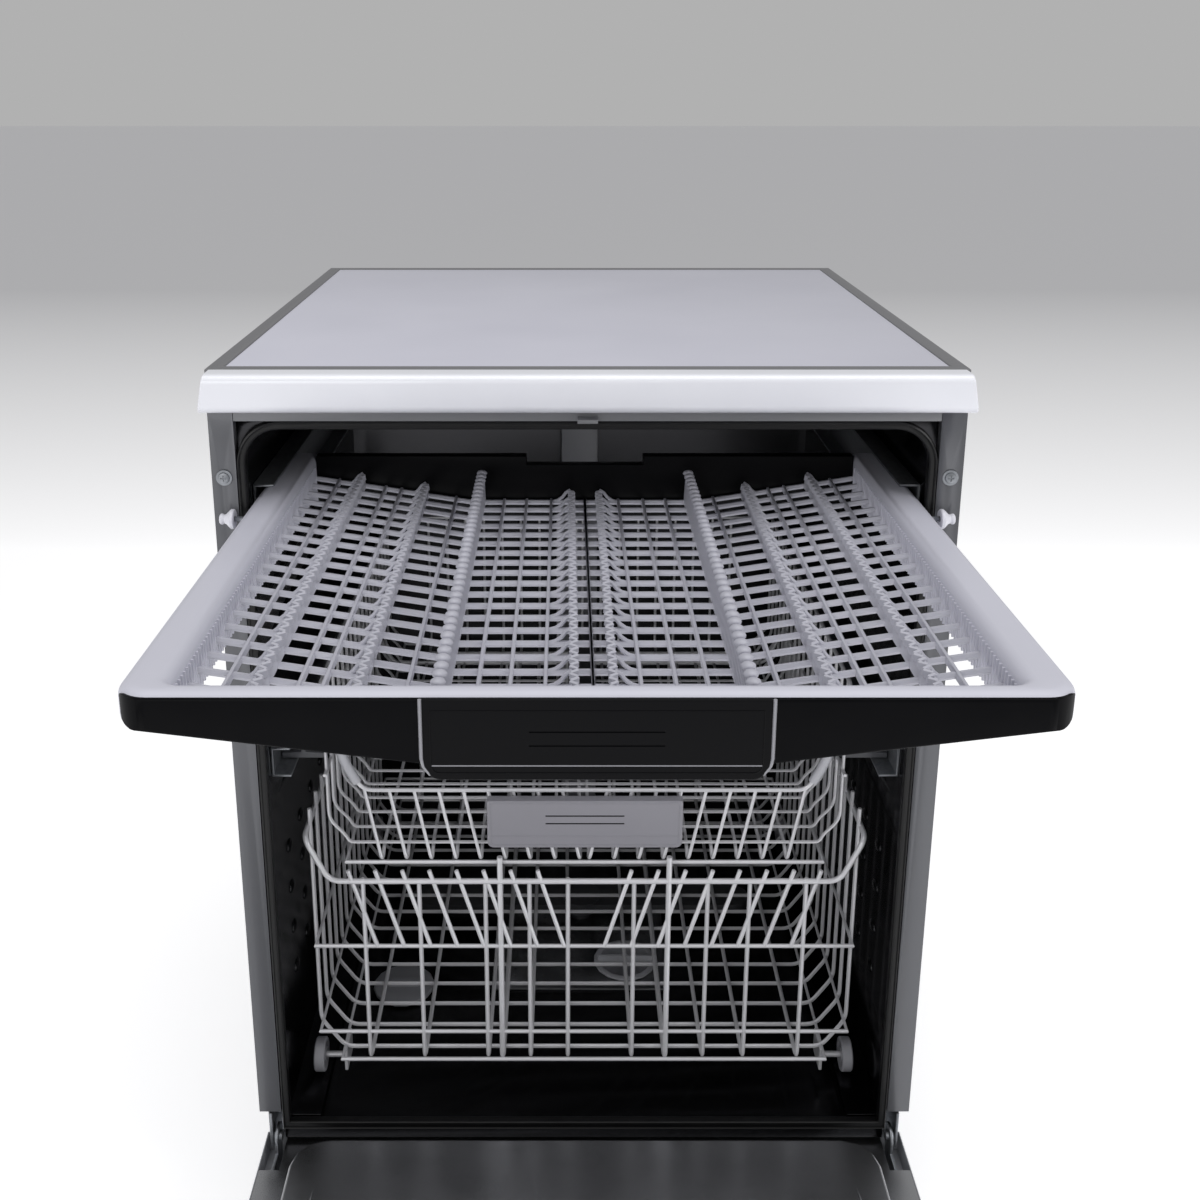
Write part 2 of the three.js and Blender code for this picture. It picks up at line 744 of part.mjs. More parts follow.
const control = {
  height: 54,
  wall: 3,
  grip_half: 90,
  grip_height: 26,
  grip_depth: 12,
  button_radius: 9,
  button_inset: 41,
};
const control_bottom = door_top - control.height;
const button_x = half_width - control.button_inset;
const return_y = [door_front, -flange_back];
const door_outer_panel = cut(
  slab(door_half, return_y, [door_bottom, control_bottom - clearance]),
  slab(door_half - sheet, [door_front + sheet, overrun], [door_bottom + sheet, control_bottom + overrun]),
);
piece("door_outer_panel", closed_door, door_outer_panel, silver);

const control_back = door_flange_front - clearance;
const button_z = control_bottom + control.height / 2;
const grip_z = [control_bottom + control.wall, control_bottom + control.wall + control.grip_height];
const grip_y = door_front + control.grip_depth;
const control_panel = cut(
  join(
    cut(
      slab(door_half, [door_front, control_back], [control_bottom, door_top]),
      slab(
        door_half - control.wall,
        [door_front + control.wall, control_back + overrun],
        [control_bottom + control.wall, door_top - control.wall],
      ),
    ),
    slab(
      control.grip_half + control.wall,
      [door_front, grip_y + control.wall],
      [control_bottom, grip_z[1] + control.wall],
    ),
  ),
  slab(control.grip_half, [door_front - overrun, grip_y], grip_z),
  ...[-1, 1].map((side) =>
    prism(circle([side * button_x, button_z], control.button_radius + clearance), "y", [
      door_front - overrun,
      door_front + control.wall + overrun / 2,
    ]),
  ),
);
piece("control_panel", closed_door, control_panel, black_plastic);

// Buttons: a round cap that stands proud of the panel, with a collar behind the panel that keeps it in
const button = { proud: 1.8, collar: 2, collar_height: 1.5, stem: 6 };
const button_sides = { power_button: -button_x, start_button: button_x };
for (const [name, x] of Object.entries(button_sides)) {
  const collar_front = door_front + control.wall + clearance;
  const cap = join(
    prism(circle([x, button_z], control.button_radius), "y", [
      door_front - button.proud,
      collar_front + button.stem,
    ]),
    prism(circle([x, button_z], control.button_radius + button.collar), "y", [
      collar_front,
      collar_front + button.collar_height,
    ]),
  );
  piece(name, closed_door, cap, silver);
}

// Latch: a fork on top of the door, open to the back, that takes the tongue of the front rail
const latch = { half: 25, height: 8, side_gap: 0.6 };
const latch_z = [door_top + clearance, door_top + clearance + latch.height];
const latch_y = [door_front + control.wall, control_back];
const door_latch = cut(
  slab(latch.half, latch_y, latch_z),
  slab(rail.tongue_half + latch.side_gap, [-rail.tongue_reach - basket_gap, overrun], [
    latch_z[0] + clearance,
    latch_z[1] + overrun,
  ]),
);
piece("door_latch", closed_door, door_latch, zinc);

// Hinge arm: an eye round the pin and a long leg that lies inside the door
const leg_y = [door_front + sheet + clearance, door_flange_front - clearance];
const hinge_arm = cut(
  join(
    prism(circle([hinge_y, hinge_z], hinge.eye), "x", arm_x),
    box(arm_x, [leg_y[0], hinge_y], [hinge_z - hinge.eye / 2, hinge_z + hinge.eye]),
    box(arm_x, leg_y, [hinge_z - hinge.eye / 2, hinge_z + hinge.arm_up]),
  ),
  prism(bore([hinge_y, hinge_z], hinge.pin_radius + clearance), "x", [
    arm_x[0] - overrun,
    arm_x[1] + overrun,
  ]),
);
pair("hinge_arm", closed_door, hinge_arm, zinc);

// Detergent dispenser: a housing in the inner panel, with a cup under a sliding lid and a cap for rinse aid
const lid = {
  width: 78,
  height: 58,
  thickness: 2.4,
  track_depth: 3,
  inset: 9,
  travel: 82,
  cup_wall: 5,
  cup_depth: 16,
};
const lid_x = [dispenser_x[0] + lid.inset, dispenser_x[0] + lid.inset + lid.width];
const lid_z = [dispenser_z[0] + lid.inset, dispenser_z[0] + lid.inset + lid.height];
const track_back = dispenser_front - lid.track_depth;
const rinse = { radius: 17, height: 2.4, stem_radius: 9, stem: 8 };
const rinse_z = (lid_z[1] + dispenser_z[1]) / 2;
const rinse_x = lid_x[0] + rinse.radius + lid.inset;
const dispenser_housing = cut(
  box(dispenser_x, [dispenser_front - dispenser.depth, dispenser_front], dispenser_z),
  box(
    [lid_x[0] - clearance, lid_x[1] + lid.travel + clearance],
    [track_back, dispenser_front + overrun],
    [lid_z[0] - clearance, lid_z[1] + clearance],
  ),
  box(
    [lid_x[0] + lid.cup_wall, lid_x[1] - lid.cup_wall],
    [track_back - lid.cup_depth, track_back + clearance],
    [lid_z[0] + lid.cup_wall, lid_z[1] - lid.cup_wall],
  ),
  prism(bore([rinse_x, rinse_z], rinse.radius + clearance), "y", [track_back, dispenser_front + overrun]),
  prism(bore([rinse_x, rinse_z], rinse.stem_radius + clearance), "y", [
    track_back - rinse.stem,
    dispenser_front + overrun,
  ]),
);
piece("detergent_dispenser", closed_door, dispenser_housing, pale_plastic);
piece(
  "detergent_lid",
  closed_door,
  box(lid_x, [track_back + clearance, track_back + clearance + lid.thickness], lid_z),
  grey_plastic,
);
const rinse_cap = join(
  prism(circle([rinse_x, rinse_z], rinse.radius), "y", [
    track_back + clearance,
    track_back + clearance + rinse.height,
  ]),
  prism(circle([rinse_x, rinse_z], rinse.stem_radius), "y", [
    track_back + clearance - rinse.stem,
    track_back + clearance + rinse.height / 2,
  ]),
);
piece("rinse_aid_cap", closed_door, rinse_cap, grey_plastic);

// Cutlery tray: modelled pushed in and moved forward to where it is pulled out
const tray = new THREE.Group();
tray.position.y = -tray_travel;
dishwasher.add(tray);
const tray_front = door_reach_in + basket_gap;
const tray_back = tub_back - tray_back_gap;
const tray_parts = {
  rail: 28,
  rail_round: 11,
  lip: 8,
  lip_height: 3,
  front: 9,
  corner: 20,
  bar: 17,
  bar_height: 24,
  rear: 12,
  rear_gap: 5,
};
const rail_inner = tray_half - tray_parts.rail;
const rail_view = rounded(
  [rail_inner, tray_half],
  [tray_bottom, tray_top],
  [0, 0, tray_parts.rail_round, tray_parts.rail_round],
);
const frame_front = tray_front + tray_parts.front + clearance;
const frame_y = [frame_front, tray_back];
const right_side = join(
  prism(rail_view, "y", frame_y),
  box([rail_inner - tray_parts.lip, tray_half - channel.lip], frame_y, [
    tray_bottom,
    tray_bottom + tray_parts.lip_height,
  ]),
);
const left_side = join(
  prism(rail_view.map(([a, b]) => [-a, b]), "y", frame_y),
  box([-tray_half + channel.lip, -rail_inner + tray_parts.lip], frame_y, [
    tray_bottom,
    tray_bottom + tray_parts.lip_height,
  ]),
);
const plan_view = rounded(
  [-tray_half, tray_half],
  [tray_front, tray_back],
  [tray_parts.corner, tray_parts.corner, 0, 0],
);
const tray_plan = prism(plan_view, "z", [tray_bottom - overrun - tray_parts.rail, tray_top + overrun]);
const grid_bottom = tray_bottom + tray_parts.lip_height + clearance;
const handle = {
  half: 98.5,
  drop: 3,
  height: 49,
  end_height: 20,
  middle_height: 40,
  thickness: 5,
  round: 10,
  back: 4.3,
};
const handle_z = [tray_top - handle.drop - handle.height, tray_top - handle.drop];
const whole_view = rounded(
  [-tray_half, tray_half],
  [tray_bottom, tray_top],
  [0, 0, tray_parts.rail_round, tray_parts.rail_round],
);
const front_lip = prism(whole_view, "y", [tray_front, frame_front + sheet]).intersect(
  slab(tray_half, [tray_front, frame_front + sheet], [handle_z[1] + clearance, tray_top]),
);
const tray_frame = join(
  right_side,
  left_side,
  front_lip,
  slab(tray_half - tray_parts.corner, [frame_front, frame_front + tray_parts.bar], [
    tray_top - tray_parts.bar_height,
    tray_top,
  ]),
  slab(rail_inner + sheet, [tray_back - tray_parts.rear_gap, tray_back], [
    tray_bottom,
    grid_bottom + tray_parts.lip,
  ]),
).intersect(tray_plan);
piece("tray_frame", tray, tray_frame, pale_plastic);

// Black front of the tray, deeper towards the handle in its middle
const front_end = handle_z[1] - handle.end_height;
const front_middle = handle_z[1] - handle.middle_height;
const front_view = [
  [-tray_half, handle_z[1]],
  [-tray_half, front_end + sheet],
  [-tray_half + tray_parts.bar / 2, front_end - sheet],
  [-handle.half, front_middle],
  [handle.half, front_middle],
  [tray_half - tray_parts.bar / 2, front_end - sheet],
  [tray_half, front_end + sheet],
  [tray_half, handle_z[1]],
];
const front_y = [tray_front, tray_front + tray_parts.front];
const tray_front_panel = cut(
  prism(front_view, "y", front_y),
  slab(handle.half + clearance, [tray_front - overrun, tray_front + handle.back], [
    handle_z[0] - overrun,
    handle_z[1] + overrun,
  ]),
).intersect(tray_plan);
piece("tray_front", tray, tray_front_panel, black_plastic);
const handle_view = rounded([-handle.half, handle.half], handle_z, [handle.round, handle.round, 0, 0]);
const handle_back = tray_front + handle.back - clearance;
const tray_handle = prism(handle_view, "y", [handle_back - handle.thickness, handle_back]);
piece("tray_handle", tray, tray_handle, black_plastic);

// Lattice floor of the tray, with two tall dividers and rows of low combs
const grid = { height: 5, bar: 4, cross: 10, divider_drop: 8, comb_drop: 28, thickness: 2.4 };
const divider_share = 0.38;
const comb_shares = [0.05, 0.59, 0.82];
const grid_half = rail_inner - clearance;
const grid_y = [frame_front + tray_parts.bar + clearance, tray_back - tray_parts.rear - tray_parts.rear_gap];
const grid_z = [grid_bottom, grid_bottom + grid.height];
const cross_bars = spread(grid_y[0] + grid.bar / 2, grid_y[1] - grid.bar / 2, grid.cross);
const both = (places) => [...places, ...places.map((place) => -place)];
const divider_places = both([divider_share * grid_half]);
const comb_places = both(comb_shares.map((share) => share * grid_half));
const rib_places = [...divider_places, ...comb_places, ...both([grid_half - grid.bar / 2])];
const bar_ends = (place) => [place - grid.bar / 2, place + grid.bar / 2];
const rib_y = [cross_bars[0], cross_bars.at(-1)];
const rib_z = [grid_z[0] + grid.bar / 8, grid_z[1] - grid.bar / 8];
const lattice = [
  ...cross_bars.map((y) => slab(grid_half - grid.bar / 2, bar_ends(y), grid_z)),
  ...rib_places.map((x) => box(bar_ends(x), rib_y, rib_z)),
];
const comb_y = [rib_y[0] + grid.bar, rib_y[1] - grid.bar];
const comb = (x, drop) =>
  box([x - grid.thickness / 2, x + grid.thickness / 2], comb_y, [
    grid_z[0] + grid.height / 2,
    tray_top - drop,
  ]);
const tray_grid = join(
  ...lattice,
  ...divider_places.map((x) => comb(x, grid.divider_drop)),
  ...comb_places.map((x) => comb(x, grid.comb_drop)),
);
piece("tray_grid", tray, tray_grid, pale_plastic);

// Black rear wall of the tray, with a shallow notch in its middle
const rear_notch = { half: 52, depth: 8 };
const rear_back = tray_back - tray_parts.rear_gap;
const rear_y = [rear_back - tray_parts.rear + clearance, rear_back - clearance];
const tray_rear_wall = cut(
  slab(grid_half, rear_y, [grid_z[0], tray_top]),
  slab(rear_notch.half, [rear_y[0] - overrun, rear_y[1] + overrun], [
    tray_top - rear_notch.depth,
    tray_top + overrun,
  ]),
);
piece("tray_rear_wall", tray, tray_rear_wall, black_plastic);

// Wire baskets. Cross wires lie in X and Z at one Y; long wires lie in Y and Z at one X.
const wire = 4;
const sink = wire / 5;
const crossWire = (line, y) => prism(strip(line, wire), "y", [y - wire / 2, y + wire / 2]);
const longWire = (line, x) => prism(strip(line, wire), "x", [x - wire / 2, x + wire / 2]);
const bothSides = (line) => [...line.map(([a, b]) => [-a, b]), ...[...line].reverse()];

// Upper basket: stepped sides, a low front, and a plastic runner on each side that sits in the rail
const upper = new THREE.Group();
dishwasher.add(upper);
const upper_size = {
  side_gap: 43,
  step_in: 14,
  foot_in: 16,
  clip_in: 19,
  rim_in: 34,
  front_dip: 10,
  step_low: 11,
  step_high: 22,
  front_height: 63,
  clip_height: 90,
  front: 46,
  back_gap: 40,
  dip: 16,
  pitch: 58,
  back_margin: 11,
  long: 6,
};
const upper_half = tub_half - upper_size.side_gap;
const u = {
  half: upper_half,
  step_x: upper_half - upper_size.step_in,
  foot_x: upper_half - upper_size.foot_in,
  clip_x: upper_half - upper_size.clip_in,
  front_half: upper_half - upper_size.rim_in,
  floor: upper_floor,
  front_floor: upper_floor - upper_size.front_dip,
  step_low: upper_floor + upper_size.step_low,
  step_high: upper_floor + upper_size.step_high,
  front_top: upper_floor + upper_size.front_height,
  clip_z: upper_floor + upper_size.clip_height,
  top: upper_top,
  front: upper_size.front,
  back: tub_back - upper_size.back_gap,
};
const u_profile = [[u.half, u.top], [u.half, u.step_high], [u.step_x, u.step_low], [u.foot_x, u.floor]];
const u_front_rim = bothSides([[u.half, u.top], [u.clip_x, u.clip_z], [u.front_half, u.front_top]]).reverse();
const u_long = [
  [u.front, u.front_top],
  [u.front, u.front_floor],
  [u.front + upper_size.dip, u.floor + wire - sink],
  [u.back, u.floor + wire - sink],
  [u.back, u.top],
];
const u_cross_pairs = Math.round((u.back - upper_size.back_margin - sump_middle) / upper_size.pitch);
const u_cross_reach = (u_cross_pairs - 1 / 2) * upper_size.pitch;
const u_cross_places = spread(sump_middle - u_cross_reach, sump_middle + u_cross_reach, 2 * u_cross_pairs);
const u_long_places = spread(-u.front_half + wire, u.front_half - wire, upper_size.long);
const runner = { front: 60, back_gap: 5 };
const runner_gap = channel.wall + clearance;
const runner_z = [upper_rail_z[0] + runner_gap, upper_rail_z[1] - runner_gap];
const runner_x = [u.half - wire / 4, gasket_inner_half - clearance];
const runner_y = [runner.front, u.back - runner.back_gap];
const upper_rim_x = [u.half - wire / 2, u.half + wire / 2];
const upper_basket = join(
  ...u_cross_places.map((y) => crossWire(bothSides(u_profile), y)),
  ...u_long_places.map((x) => longWire(u_long, x)),
  crossWire(u_front_rim, u.front),
  slab(u.foot_x, [u.front - wire / 2, u.front + wire / 2], [
    u.front_floor - wire / 2,
    u.front_floor + wire / 2,
  ]),
  ...[-1, 1].flatMap((side) => [
    sideBox(side, upper_rim_x, [u.front - wire / 2, u.back], [u.top - wire, u.top]),
    sideBox(side, runner_x, runner_y, runner_z),
  ]),
  slab(u.half, [u.back - wire / 2, u.back + wire / 2], [u.top - wire, u.top]),
);
piece("upper_basket", upper, upper_basket, coated_wire);
const upper_handle = { half: 87, lift: 12, rim_gap: 4, thickness: 10, round: 8 };
const upper_handle_back = u.front - wire / 2 - clearance;
piece(
  "upper_basket_handle",
  upper,
  prism(
    rounded(
      [-upper_handle.half, upper_handle.half],
      [u.floor + upper_handle.lift, u.front_top - upper_handle.rim_gap],
      Array(4).fill(upper_handle.round),
    ),
    "y",
    [upper_handle_back - upper_handle.thickness, upper_handle_back],
  ),
  grey_plastic,
);

// Feed duct along the floor of the upper basket, and the arm that hangs below it
const duct = { half: 14, height: 15 };
const duct_bottom = u.floor + wire + wire / 2 - sink + clearance;
const duct_y = [sump_middle - duct.half, pipe_back - pipe.thickness - clearance];
const upper_arm = { tip_gap: 16, half: 18, height: 9, hub_radius: 8 };
const upper_arm_radius = Math.min(u.foot_x, sump_middle - u.front) - upper_arm.tip_gap;
const upper_arm_top = u.floor - wire / 2 - basket_gap;
const upper_arm_z = [upper_arm_top - upper_arm.height, upper_arm_top];
piece(
  "upper_feed_duct",
  upper,
  slab(duct.half, duct_y, [duct_bottom, duct_bottom + duct.height]),
  black_plastic,
);
piece(
  "upper_spray_arm",
  upper,
  sprayArm(sump_middle, upper_arm_radius, upper_arm.half, upper_arm_z, upper_arm.hub_radius, [
    upper_arm_z[0],
    duct_bottom - clearance,
  ]),
  black_plastic,
);

// Lower basket: leaning sides, a thick front rim, and four wheels that roll on the ledges
const lower = new THREE.Group();
dishwasher.add(lower);
const lower_size = {
  side_gap: 25,
  floor_in: 22,
  rim_in: 19,
  lift: 44,
  knee: 31,
  side_rise: 38,
  rim_drop: 20,
  tip: 11,
  front: 40,
  back_gap: 40,
  cross: 7,
  long: 7,
  rim_wire: 5,
};
const lower_half = tub_half - lower_size.side_gap;
const lower_floor = tub_floor + lower_size.lift;
const lower_tip = upper_arm_z[0] - basket_gap;
const l = {
  half: lower_half,
  floor_half: lower_half - lower_size.floor_in,
  rim_half: lower_half - lower_size.rim_in,
  floor: lower_floor,
  wall_low: lower_floor + lower_size.knee,
  side_top: upper_floor + lower_size.side_rise,
  side_rim: upper_floor + lower_size.side_rise - lower_size.rim_drop,
  rim: lower_tip - lower_size.tip,
  tip: lower_tip,
  front: lower_size.front,
  back: tub_back - lower_size.back_gap,
};
const wheel = { radius: 16, width: 10, axle_radius: 3, front: 70, back_gap: 35, bracket: 3 };
const wheel_places = { front: wheel.front, rear: l.back - wheel.back_gap };
const l_profile = [[l.half, l.side_top], [l.half, l.wall_low], [l.floor_half, l.floor]];
const l_rim = bothSides([[l.half + wire / 2, l.side_rim], [l.rim_half, l.rim]]).reverse();
const l_long = [
  [l.front, l.tip],
  [l.front, l.floor + wire - sink],
  [l.back, l.floor + wire - sink],
  [l.back, l.rim],
];
const wheel_z = ledge_top + clearance + wheel.radius;
const wheel_x = [tub_half - ledge_width + 4 * sheet, tub_half - ledge_width + 4 * sheet + wheel.width];
const axle_inner = l.floor_half - wire / 2;
const bracket_z = [wheel_z - 2 * wheel.bracket, l.floor + wire / 2];
const wheel_bracket_x = [axle_inner, axle_inner + wheel.bracket];
const axles = Object.values(wheel_places).map((y) => {
  const axle = prism(circle([y, wheel_z], wheel.axle_radius, 10), "x", [axle_inner, wheel_x[1]]);
  return join(axle, box(wheel_bracket_x, [y - wheel.radius, y + wheel.radius], bracket_z));
});
const basket_side = join(
  box(wheel_bracket_x, [l.front, l.back], [l.floor - wire / 2, l.floor + wire / 2]),
  box([l.half - wire / 4, l.half + wire], [l.front - wire / 2, l.back], [l.side_rim - wire, l.side_rim]),
  ...axles,
);

// A copy on the other side of the middle plane, with its faces turned to point outwards again
function mirrored(made) {
  const geometry = geometryOf(made).toNonIndexed();
  geometry.scale(-1, 1, 1);
  const places = geometry.attributes.position.array;
  for (let i = 0; i < places.length; i += 9) {
    const second = places.slice(i + 3, i + 6);
    places.copyWithin(i + 3, i + 6, i + 9);
    places.set(second, i + 6);
  }
  return solid(geometry);
}
const l_cross_places = spread(l.front + 2 * wheel.radius, l.back - wheel.radius, lower_size.cross);
const l_long_places = spread(-l.floor_half + 2 * wire, l.floor_half - 2 * wire, lower_size.long);
const rim_wire_y = [l.front - lower_size.rim_wire / 2, l.front + lower_size.rim_wire / 2];
const lower_basket = join(
  ...l_cross_places.map((y) => crossWire(bothSides(l_profile), y)),
  ...l_long_places.map((x) => longWire(l_long, x)),
  prism(strip(l_rim, lower_size.rim_wire), "y", rim_wire_y),
  prism(strip(l_rim, wire), "y", [l.back - wire / 2, l.back + wire / 2]),
  basket_side,
  mirrored(basket_side),
);
piece("lower_basket", lower, lower_basket, coated_wire);
const wheel_view = cut(
  prism(circle([0, wheel_z], wheel.radius, 20), "x", wheel_x),
  prism(circle([0, wheel_z], wheel.axle_radius + clearance, 10), "x", [
    wheel_x[0] - overrun,
    wheel_x[1] + overrun,
  ]),
);
for (const [place, y] of Object.entries(wheel_places)) {
  const wheels = new THREE.Group();
  wheels.position.y = y;
  lower.add(wheels);
  pair("basket_wheel_" + place, wheels, wheel_view, grey_plastic);
}

// The origin is on the floor, in the middle between the tip of the open door and the back of the cabinet
const door_tip = hinge_y - (latch_z[1] - hinge_z);
dishwasher.position.y = -(door_tip + cabinet_back) / 2;

export default dishwasher;
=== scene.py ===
import math
from contextlib import contextmanager
import bmesh
import bpy
from mathutils import Matrix, Vector


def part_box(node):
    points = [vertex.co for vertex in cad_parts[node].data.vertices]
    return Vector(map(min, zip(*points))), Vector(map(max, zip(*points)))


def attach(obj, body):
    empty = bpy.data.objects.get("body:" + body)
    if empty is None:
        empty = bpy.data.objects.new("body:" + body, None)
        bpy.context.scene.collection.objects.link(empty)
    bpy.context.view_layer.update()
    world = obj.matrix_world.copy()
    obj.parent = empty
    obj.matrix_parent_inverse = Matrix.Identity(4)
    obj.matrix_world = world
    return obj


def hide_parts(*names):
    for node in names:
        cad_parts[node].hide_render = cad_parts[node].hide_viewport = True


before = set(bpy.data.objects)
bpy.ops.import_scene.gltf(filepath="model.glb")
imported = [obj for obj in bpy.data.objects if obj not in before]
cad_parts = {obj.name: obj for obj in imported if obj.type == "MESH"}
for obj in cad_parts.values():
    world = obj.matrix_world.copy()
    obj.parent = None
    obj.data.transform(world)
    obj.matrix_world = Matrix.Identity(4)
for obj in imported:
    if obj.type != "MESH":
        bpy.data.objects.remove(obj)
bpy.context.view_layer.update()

# Camera: it stands a metre in front of the columns and a little above the worktop, and looks down into the
# open tray. From there the side edges of the tray and of the worktop run to one point.
mm = 0.001
front_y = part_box("side_panel_left")[0].y
photo_side = 1200
vanishing_column = 565
look_row = 450
camera_pitch = math.radians(15.65)
camera_place = (-17.7 * mm, front_y - 1005 * mm, 1066.4 * mm)
bpy.ops.object.select_all(action="DESELECT")
bpy.ops.object.camera_add(location=camera_place, rotation=(math.pi / 2 - camera_pitch, 0, 0))
camera = bpy.context.object
camera.data.sensor_width = 36
camera.data.lens = 39.56
camera.data.shift_x = (photo_side / 2 - vanishing_column) / photo_side
camera.data.shift_y = (look_row - photo_side / 2) / photo_side
camera.data.clip_start = 10 * mm
bpy.context.scene.camera = camera
bpy.context.scene.view_settings.view_transform = "Standard"


def tint(code):
    """The linear colour of a six-digit code."""
    parts = [int(code[i:i + 2], 16) / 255 for i in (0, 2, 4)]
    return tuple(c / 12.92 if c < 0.04045 else ((c + 0.055) / 1.055) ** 2.4 for c in parts) + (1,)


def shade(colour, share):
    """A lighter or darker tone of a colour."""
    return tuple(c * share for c in colour[:3]) + (1,)


class Value:
    """A shader value that takes Python arithmetic: each sum or product adds its Math node."""

    def __init__(self, finish, socket):
        self.finish = finish
        self.socket = socket

    def worked(self, operation, other):
        return self.finish.add("ShaderNodeMath", {0: self, 1: other}, operation=operation)

    def __add__(self, other):
        return self.worked("ADD", other)

    def __sub__(self, other):
        return self.worked("SUBTRACT", other)

    def __mul__(self, other):
        return self.worked("MULTIPLY", other)

    def __pow__(self, other):
        return self.worked("POWER", other)

    __radd__ = __add__


class Finish:
    """A procedural material: one Principled shader and what is fed to its sockets."""

    def __init__(self, name, roughness=0.5, metallic=0.0, coat=0.0, specular=0.5):
        self.material = bpy.data.materials.new(name)
        self.material.use_nodes = True
        self.tree = self.material.node_tree
        self.shader = self.tree.nodes["Principled BSDF"]
        self.to("Roughness", roughness)
        self.to("Metallic", metallic)
        self.to("Coat Weight", coat)
        self.to("Specular IOR Level", specular)
        self.place = self.add("ShaderNodeTexCoord", {}, output="Object")

    def add(self, kind, sockets, output=0, **settings):
        """Adds a node with its settings and its socket values or links, and gives one output."""
        node = self.tree.nodes.new(kind)
        for setting, value in settings.items():
            setattr(node, setting, value)
        for key, value in sockets.items():
            self.feed(node.inputs[key], value)
        return Value(self, node.outputs[output])

    def feed(self, socket, value):
        if isinstance(value, Value):
            self.tree.links.new(value.socket, socket)
        else:
            socket.default_value = value

    def to(self, socket, value):
        self.feed(self.shader.inputs[socket], value)

    def noise(self, size, detail=2.0, stretch=(1, 1, 1)):
        """Soft noise between 0 and 1, with features of that size in metres."""
        place = self.add("ShaderNodeMapping", {"Vector": self.place, "Scale": stretch})
        return self.add("ShaderNodeTexNoise", {"Vector": place, "Scale": 1 / size, "Detail": detail})

    def blend(self, share, first, second):
        """The colour that lies that share of the way from the first colour to the second."""
        return self.add("ShaderNodeMix", {0: share, 6: first, 7: second}, output=2, data_type="RGBA")

    def bump(self, height, distance):
        relief = {"Height": height, "Distance": distance, "Strength": 1.0}
        self.to("Normal", self.add("ShaderNodeBump", relief))


# Studio: a pale floor with painted shade that greys it with distance, a white surround, and soft lamps above
# and at the sides.
# The floor and the surround are the stage and no part of the machine.
world = bpy.data.worlds.new("studio")
bpy.context.scene.world = world
world.use_nodes = True
surround = world.node_tree.nodes["Background"]
surround_light = 0.44
surround.inputs["Color"].default_value = (1, 1, 1, 1)
surround.inputs["Strength"].default_value = surround_light
floor_side = 40
floor_middle = (0, 12, -0.4 * mm)
bpy.ops.mesh.primitive_plane_add(size=floor_side, location=floor_middle)
floor = bpy.context.object
floor.name = "studio_floor"
bpy.ops.object.transform_apply()
floor_finish = Finish("studio_floor", roughness=0.9, specular=0.05)
fade_start = 2.0
fade_end = 6.0
fade_curve = 0.65
# Painted shade: the floor's colour darkens from near white to grey with distance, and the floor glows in that
# tone at the surround's strength.
way_back = floor_finish.add("ShaderNodeSeparateXYZ", {"Vector": floor_finish.place}, output="Y")
fade_sockets = {"Value": way_back, "From Min": fade_start, "From Max": fade_end}
far_shade_share = floor_finish.add("ShaderNodeMapRange", fade_sockets)
shaded_floor_tone = floor_finish.blend(far_shade_share ** fade_curve, tint("FBFBFC"), tint("B4B4B6"))
floor_finish.to("Base Color", shaded_floor_tone)
floor_finish.to("Emission Color", shaded_floor_tone)
floor_finish.to("Emission Strength", surround_light)
floor.data.materials.append(floor_finish.material)

lamps = {
    "top_softbox": ((0.1, -0.3, 2.9), (2.4, 1.8), 24, (0.0, 0.2, 0.6)),
    "right_softbox": ((2.4, -1.5, 1.9), (1.2, 1.6), 27, (0.1, -0.1, 0.7)),
    "left_softbox": ((-2.6, -1.3, 1.7), (1.2, 1.6), 13, (-0.1, -0.1, 0.7)),
    "front_card": ((-1.2, -3.0, 1.6), (1.6, 1.2), 14, (0.0, 0.0, 0.6)),
}
for lamp_name, (place, size, power, aim) in lamps.items():
    turn = (Vector(aim) - Vector(place)).to_track_quat("-Z", "Y").to_euler()
    bpy.ops.object.light_add(type="AREA", location=place, rotation=turn)
    lamp = bpy.context.object
    lamp.name = lamp_name
    lamp.data.shape = "RECTANGLE"
    lamp.data.size, lamp.data.size_y = size
    lamp.data.energy = power


# Worktop frame: a dark grey moulded plastic frame, 31 mm high, that drops over the top of the cabinet.
# It is screwed on from behind. Its edges are rounded and its skin has a fine grain.
def only(piece):
    """Selects one piece and nothing else."""
    bpy.ops.object.select_all(action="DESELECT")
    piece.select_set(True)
    bpy.context.view_layer.objects.active = piece
    return piece


@contextmanager
def editing(piece, kind="FACE", wanted=lambda part: True):
    """Edit mode on one piece, with the faces or edges selected that are wanted."""
    only(piece)
    bpy.ops.object.mode_set(mode="EDIT")
    bpy.ops.mesh.select_mode(type=kind)
    bpy.ops.mesh.select_all(action="DESELECT")
    shape = bmesh.from_edit_mesh(piece.data)
    for part in list(shape.faces if kind == "FACE" else shape.edges):
        if wanted(part):
            part.select_set(True)
    bmesh.update_edit_mesh(piece.data)
    yield
    bpy.ops.object.mode_set(mode="OBJECT")


def middle(part):
    """The middle of a face or an edge."""
    return sum((corner.co for corner in part.verts), Vector()) / len(part.verts)


def runs_along(edge, axis):
    """True for an edge that runs along one axis."""
    way = edge.verts[1].co - edge.verts[0].co
    return abs(way[axis]) > 0.99 * way.length


def modified(piece, kind, **settings):
    """Adds one modifier with its settings and applies it."""
    only(piece)
    modifier = piece.modifiers.new(kind.lower(), kind)
    for setting, value in settings.items():
        setattr(modifier, setting, value)
    bpy.ops.object.modifier_apply(modifier=modifier.name)
    return piece


def softened(piece, width, segments=2, angle=32):
    """Breaks every sharp edge with a small round."""
    only(piece)
    bpy.ops.object.shade_smooth()
    limit = math.radians(angle)
    settings = {"width": width, "segments": segments, "limit_method": "ANGLE", "angle_limit": limit}
    return modified(piece, "BEVEL", harden_normals=True, **settings)


